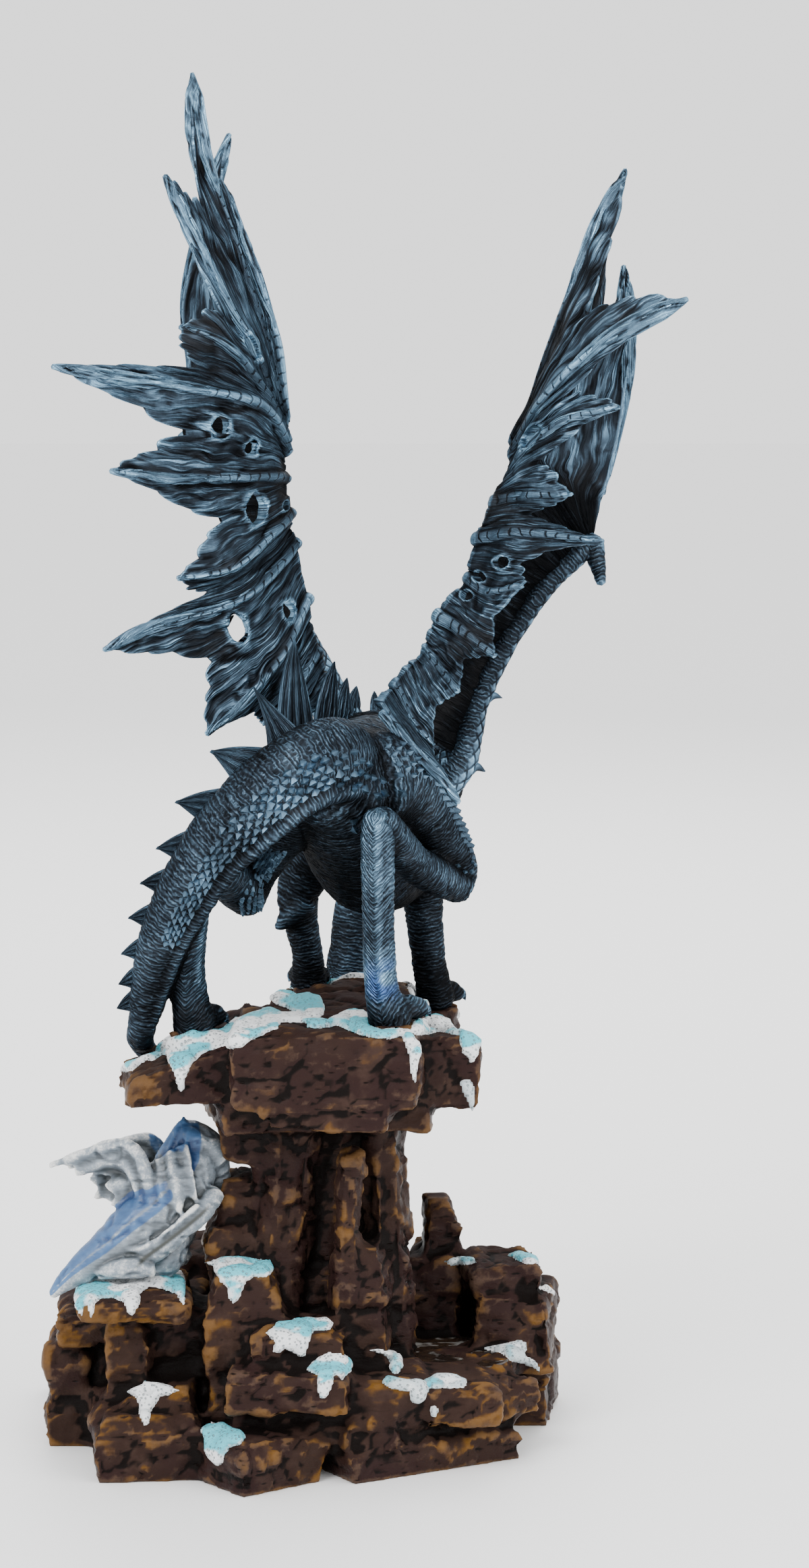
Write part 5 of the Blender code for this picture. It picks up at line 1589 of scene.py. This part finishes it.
def bodyShells():
    counts = {"torso": (34, 40), "tail": (90, 30), "neck": (54, 30)}
    shells = [tube(rows, *counts.get(name, (30, 28)), facingAxis) for name, rows in limbs.items()]
    shells += [tube(*part) for part in bodyParts]
    for name, way, start, end, share, thick, thin in raisedBands:
        line = limbEdge(name, way, start, end, share, 30)
        radii = np.linspace(thick, thin, 30)
        shells.append(tube([(*spot, radius) for spot, radius in zip(line, radii)], 60, 14, facingAxis))
    nails = []
    for pad, heading, length, radius in pads.values():
        skins, tips = toeShells(pad, heading, length, radius)
        shells += skins
        nails += tips
    return shells, nails


def toothShells():
    shells = []
    for index in range(7):
        share = index / 6
        x = -12 - 18 * share
        for side in (-1, 1):
            y = 92 + side * (6.2 - 3.2 * share)
            shells.append(claw((x, y, 116.5 - 3.6 * share), (x - 0.5, y, 112.6 - 3.2 * share), 0.9))
            shells.append(claw((x + 1, y, 109.6 - 4.6 * share), (x + 0.6, y, 113.0 - 4.4 * share), 0.8))
    return shells


def dressBody(body):
    # Wrinkles that run round each limb, folds, and the values that the skin's paint reads.
    points = places(body)
    flow, outward, owner, margin = limbCoordinates(points)
    names = list(limbs)
    lower = np.isin(owner, [names.index(name) for name in ("rightFoot", "leftFoot")])
    feet = lower | np.isin(owner, [names.index(name) for name in ("rightArm", "leftArm")])
    chevron = np.abs(outward @ np.array(facingAxis)) * 5.0
    flow[:, 1] += np.where(lower & (outward[:, 1] < 0.2), chevron, 0.0)
    wander = softNoise(flow, 5.0, 81) * 1.2
    rings = np.sin((flow[:, 1] / (dragonPaint["ringPitch"] * 2.0) + wander) * 2 * math.pi)
    move = bodyLook["wrinkleDepth"] * rings * eased(margin, 0.0, 0.2)
    move += layeredNoise(points, 9.0, 3, 85) * 0.4
    fold = ridgeNoise(flow * np.array([0.5, 1.0, 1.0]), 6.5, 2, 91)
    move -= 0.35 * eased(fold, 0.78, 0.98)
    push(body, move)
    relief = proudness(body, 6, 0.35) * 0.45 + proudness(body, 30, 1.4) * 0.6
    cuffPlace = np.array([28.0, -47.0, 163.0])
    cuff = np.exp(-(((points - cuffPlace) / np.array([8, 9, 9])) ** 2).sum(axis=1))
    # Painted shade, carried to the paint in the bright layer: faces that look down darken, partly as
    # painted shade and partly because the dry brush from above misses them; the middle of the body's depth,
    # round y = 20 mm, darkens as painted shade; and the feet darken low down, where they meet the rock.
    below = eased(-normals(body)[:, 2], 0.0, 0.8)
    shade = -0.16 * below - 0.10 * eased(np.abs(points[:, 1] - 20), 40, 10)
    shade = shade - 0.22 * feet * (1 - eased(points[:, 2], 150, 158))
    shin = lower * eased(points[:, 2], 154, 166) * 0.13
    cobalt = np.clip(cuff * 1.2 - 0.3, 0, 1) * eased(softNoise(points, 5.0, 95), -0.5, 0.2)
    store(body, flow=flow, relief=np.clip(relief, -1, 1), scales=0.0, bright=shade + shin + cuff * 0.25,
          cobalt=cobalt)


def buildBody():
    shells, nails = bodyShells()
    body = makeObject("dragonBody", *join(shells))
    remesh(body, bodyLook["voxel"], bodyLook["smoothing"])
    dressBody(body)
    body.data.materials.append(skinPaint)
    deliver(body, "dragon_body")
    buildScales(body)
    fins = tailFinShells()
    for foot, tip, run, half, thickness in dorsalFins:
        foot = np.array(foot, float)
        run = np.array(run, float) * half
        fins.append(leafFin(foot - run, foot + run * 0.8, tip, thickness, 4.0, 0.10, 1.9))
    plainDragonPiece("fins", fins, flow=finFlow(fins))
    plainDragonPiece("claws", nails)
    plainDragonPiece("horns", [tube(*horn) for horn in horns])
    plainDragonPiece("teeth", toothShells(), 2, 0.3)


buildBody()

# Hatchling
hatchlingLook = {
    "voxel": 0.68,
    "smoothing": 3,
    # crease, deepBlue and hollow are painted shade in creases and hollows
    "crease": (0.045, 0.055, 0.065),
    "grey": (0.22, 0.26, 0.30),
    "white": (0.70, 0.70, 0.68),
    "deepBlue": (0.010, 0.035, 0.11),
    "blue": (0.070, 0.155, 0.31),
    "hollow": (0.035, 0.038, 0.034),
}
hatchlingBody = [(-82, -34, 55, 1.5), (-76, -33, 60.5, 3.8), (-70, -31, 64.5, 5.6),
                 (-63, -29, 69, 7.4), (-55.5, -27, 75, 9), (-47, -25, 81, 9.8), (-40, -22, 87.5, 9.2),
                 (-35, -19, 95, 8), (-34.5, -17, 101.5, 6.5)]
# Its other parts: rows, rings and sides
hatchlingParts = {
    "head": ([(-41, -18, 103, 4.5), (-37, -17, 104, 7.2), (-32, -16, 101, 7.2), (-28.5, -15.5, 95.5, 5.6),
              (-27, -15, 90, 4.2), (-26.8, -15, 85, 2.6)], 20, 20),
    "nearLeg": ([(-66, -35, 62.5, 2.2), (-60, -37, 64.5, 3.2), (-54, -37, 65, 3.4),
                 (-48, -36, 63.5, 2.4)], 14, 16),
    "farLeg": ([(-56, -14, 70, 6), (-58, -13, 65, 5), (-52, -12, 61.5, 4)], 12, 18),
    "nearArm": ([(-56, -31, 66, 3.4), (-50, -33, 68.5, 3.9), (-40, -33, 76, 4.0), (-32, -30, 82.5, 3.8),
                 (-27, -25, 88, 3.2)], 24, 18),
    "armRidge": ([(-57, -35, 70.5, 0.7), (-50, -36.3, 72.2, 1.1), (-41, -36.6, 79.3, 1.1),
                  (-33, -33.4, 85.6, 0.8)], 24, 12),
    "brow": ([(-38, -20, 106, 4.2), (-31, -19, 103, 4.4), (-26, -18, 97.5, 4.2)], 14, 16),
    "farArm": ([(-42, -14, 82, 5), (-38, -12, 74, 4.4), (-41, -12, 66, 3.6), (-39, -12, 61.5, 3.6)],
               14, 16),
    "belly": ([(-55, -26, 66, 9), (-46, -24, 66, 8), (-42, -22, 74, 6)], 10, 20),
}
hatchlingEye = [(-31.7, -23, 90.3, 1.6), (-31.7, -26.2, 90.3, 1.5), (-31.7, -27.3, 90.3, 0.7)]
hatchlingRibs = [
    [(-49, -29, 88), (-53.5, -29, 101.5), (-62, -27, 104.5), (-83.5, -22, 96.2)],
    [(-52, -29, 85), (-57, -27, 97), (-64, -25, 98.5), (-74, -22, 93.6)],
    [(-54, -29, 81), (-57.5, -21, 90), (-63, -17, 92), (-70.5, -19, 90.5)],
    [(-58, -29, 78), (-61, -20, 82), (-65, -17, 84), (-68.5, -18, 84)],
]
frillRibs = [
    [(-50, -24, 97), (-49, -29, 91), (-48.5, -31, 85), (-48, -33, 79)],
    [(-47, -25, 99), (-45.5, -31, 90), (-44.5, -33, 82), (-43.5, -34, 75.5)],
    [(-43, -25, 102), (-41, -31, 94), (-40, -33, 88), (-39, -33.5, 82.5)],
    [(-37, -24, 105), (-35, -29, 98), (-34, -30, 91), (-33.5, -30, 84.5)],
]


def plainSheet(ribs, notches, thickness, perRib=9, rows=26):
    # A small wing's skin between ribs of four points each, pleated along the ribs.
    spines = np.array([smoothPath([(*p, 0.0) for p in rib], 61)[:, :3] for rib in ribs])
    s = np.arange((len(ribs) - 1) * perRib + 1) / perRib
    k = np.minimum(s.astype(int), len(ribs) - 2)
    reach = 1 - (1 - np.array(notches)[k]) * (1 - np.abs(2 * (s - k) - 1)) ** 1.1
    grid, _ = betweenRibs(spines, s, reach[:, None] * np.linspace(0, 1, rows)[None, :])
    facing = unit(np.cross(np.gradient(grid, axis=1), np.gradient(grid, axis=0)), 1e-9)
    half = thickness / 2 + 0.45 * np.cos(2 * np.pi * s)[:, None, None]
    return closedSheet(grid + facing * half, grid - facing * half)


def hatchlingMaterial():
    look = hatchlingLook
    recipe = Recipe("hatchlingPaint")
    relief = recipe.attribute("relief")
    grain = recipe.noise(recipe.place, 1200.0, 3.0, 0.6)
    drawn = recipe.node("ShaderNodeMapping", {0: recipe.place, 2: (0.0, 0.7, 0.0), 3: (0.5, 2.4, 2.4)})
    streak = recipe.noise(drawn, 380.0, 3.0)
    # Painted shade: the grey darkens to the crease colour and the blue to deepBlue where the surface sinks,
    # and hollows darken further through the open layer.
    raised = (relief + (streak - 0.5) * 0.8).eased(-0.5, 0.4)
    tone = recipe.mix(raised, look["crease"], look["grey"])
    tone = recipe.mix((relief + grain - 0.5).eased(0.15, 0.8), tone, look["white"])
    blue = recipe.mix(relief.eased(-0.4, 0.6), look["deepBlue"], look["blue"])
    stripe = recipe.attribute("stripe") + (streak - 0.5) * 0.5
    tone = recipe.mix(stripe.eased(0.3, 0.7), tone, blue)
    tone = recipe.mix(recipe.attribute("open").eased(0.3, 1.0), look["hollow"], tone)
    return recipe.finish(tone, 0.36, 0.0, grain * 0.3 + streak * 0.7, 0.25, 0.4)


def hatchlingShells():
    acrossBody = (0.0, 1.0, 0.0)
    shells = [tube(hatchlingBody, 40, 26, (0.3, 1.0, 0.0)), tube(hatchlingEye, 8, 14)]
    shells += [tube(*part, acrossBody) for part in hatchlingParts.values()]
    shells += [
        leafFin((-50, -24, 95), (-31, -22, 98), (-38.5, -18, 113), 5.0, 4.5, 0.04, 1.15),
        leafFin((-44, -26, 94), (-31, -25, 95), (-36.5, -20, 107), 3.2, 2.5, 0.04, 1.3),
        plainSheet(frillRibs, [0.72, 0.7, 0.72], 1.7),
    ]
    nearWing = np.array(hatchlingRibs, float)
    farWing = nearWing * np.array([1, -1, 1]) + np.array([6, -42, -1])
    for ribs in (nearWing, farWing):
        shells.append(plainSheet(ribs, [0.9, 0.86, 0.88], 1.9))
        rim = ribs[0] + np.array([0.4, 0.0, 0.2])
        rows = [(*place, radius) for place, radius in zip(rim, (2.6, 2.4, 1.9, 1.0))]
        shells.append(tube(rows, 24, 12, acrossBody))
    return shells


def hatchlingStripe(points):
    # 1 where the blue stripe runs down the back and on the plaited crown.
    path = smoothPath(hatchlingBody, 60)
    along = unit(np.gradient(path[:, :3], axis=0))
    ring, gap, _, outward = aroundPath(points, path, along, np.ones(len(path)))
    back = outward @ np.array([-0.55, -0.45, 0.7])
    ridge = 0.55 * np.exp(-((back - 0.80) / 0.07) ** 2)
    onBody = eased(gap - path[ring, 3], 2.4, 1.0)
    crown = eased(points[:, 2], 96, 103) * eased(points[:, 0], -30, -35) * eased(points[:, 0], -53, -48)
    crown *= eased(points[:, 1], -28, -25)
    plait = np.sin((points[:, 0] + 0.35 * points[:, 2]) * 2 * math.pi / 3.4) * 0.25
    stripe = (eased(back, 0.42, 0.66) - ridge) * onBody + crown * (0.85 + plait)
    return np.clip(stripe, 0, 1)


def armGroove(points):
    # 1 in the dark line over the near arm.
    groove = np.exp(-(((points - [-40, -36.6, 76.4]) @ [0.60, 0.05, -0.80]) / 0.9) ** 2)
    return groove * (points[:, 1] < -31) * eased(points[:, 0], -56, -50) * eased(points[:, 0], -27, -32)


def buildHatchling():
    item = makeObject("hatchling", *join(hatchlingShells()))
    remesh(item, hatchlingLook["voxel"], hatchlingLook["smoothing"])
    points = places(item)
    move = layeredNoise(points, 5.0, 3, 301) * 0.45
    move -= 0.45 * eased(ridgeNoise(points, (9.0, 6.0, 6.0), 2, 305), 0.74, 0.96)
    push(item, move)
    # open: hollows that short rays can't leave, for painted shade, made darker also along the dark line
    # over the near arm
    free = averaged(item, openness(item, 14.0), 4) - armGroove(points) * 0.7
    store(item, relief=proudness(item, 12, 0.6), stripe=hatchlingStripe(points),
          open=np.clip(free, 0, 1))
    item.data.materials.append(hatchlingMaterial())
    deliver(item, "hatchling")


buildHatchling()

# Pool: a sheet of glossy dark water with the ripples that its resin froze in
poolLook = {
    "centre": (48.0, -12.0),
    "radius": 24.0,
    "level": 29.4,
    "depth": 2.2,
    "ripple": 0.5,
    "dark": (0.012, 0.008, 0.006),
    "brown": (0.045, 0.026, 0.015),
    # painted reflections on the ripples
    "paintedReflection": (0.36, 0.35, 0.33),
}


def poolMaterial():
    look = poolLook
    recipe = Recipe("poolPaint")
    relief = recipe.attribute("relief")
    patch = recipe.noise(recipe.place, 90.0, 3.0)
    tone = recipe.mix(patch.eased(0.35, 0.65), look["dark"], look["brown"])
    # Painted reflections: pale streaks on the ripples' crests.
    paintedReflection = (relief + (patch - 0.5) * 2.2).eased(0.55, 1.15)
    tone = recipe.mix(paintedReflection * 0.8, tone, look["paintedReflection"])
    return recipe.finish(tone, 0.12 + patch * 0.1, 0.0, patch, 0.4, 0.6)


def buildPool():
    look = poolLook
    rings = 40
    sides = 96
    radius = look["radius"] * (np.arange(rings)[:, None] + 0.35) / rings
    angle = 2 * math.pi * np.arange(sides) / sides
    top = np.stack([look["centre"][0] + radius * np.cos(angle), look["centre"][1] + radius * np.sin(angle),
                    np.full((rings, sides), look["level"])], axis=2).reshape(-1, 3)
    under = top - (0.0, 0.0, look["depth"])
    wave = ridgeNoise(top, (7.0, 4.0, 50.0), 2, 401) - 0.62
    top[:, 2] += look["ripple"] * wave
    size = len(top)
    faces = [tuple(range(sides)), tuple(range(size, size + sides))]
    for ring in range(rings - 1):
        for j in range(sides):
            a = ring * sides + j
            b = ring * sides + (j + 1) % sides
            faces.append((a, b, b + sides, a + sides))
            faces.append((size + a, size + a + sides, size + b + sides, size + b))
    last = size - sides
    for j in range(sides):
        k = (j + 1) % sides
        faces.append((last + j, last + k, size + last + k, size + last + j))
    pool = makeObject("pool", np.vstack([top, under]), faces)
    turnOutwards(pool)
    store(pool, relief=np.clip(np.concatenate([wave, wave * 0]) * 3.2, -1, 1))
    pool.data.materials.append(poolMaterial())
    deliver(pool, "rock_base")


rock = buildRock()
buildSnow(rock)
buildPool()
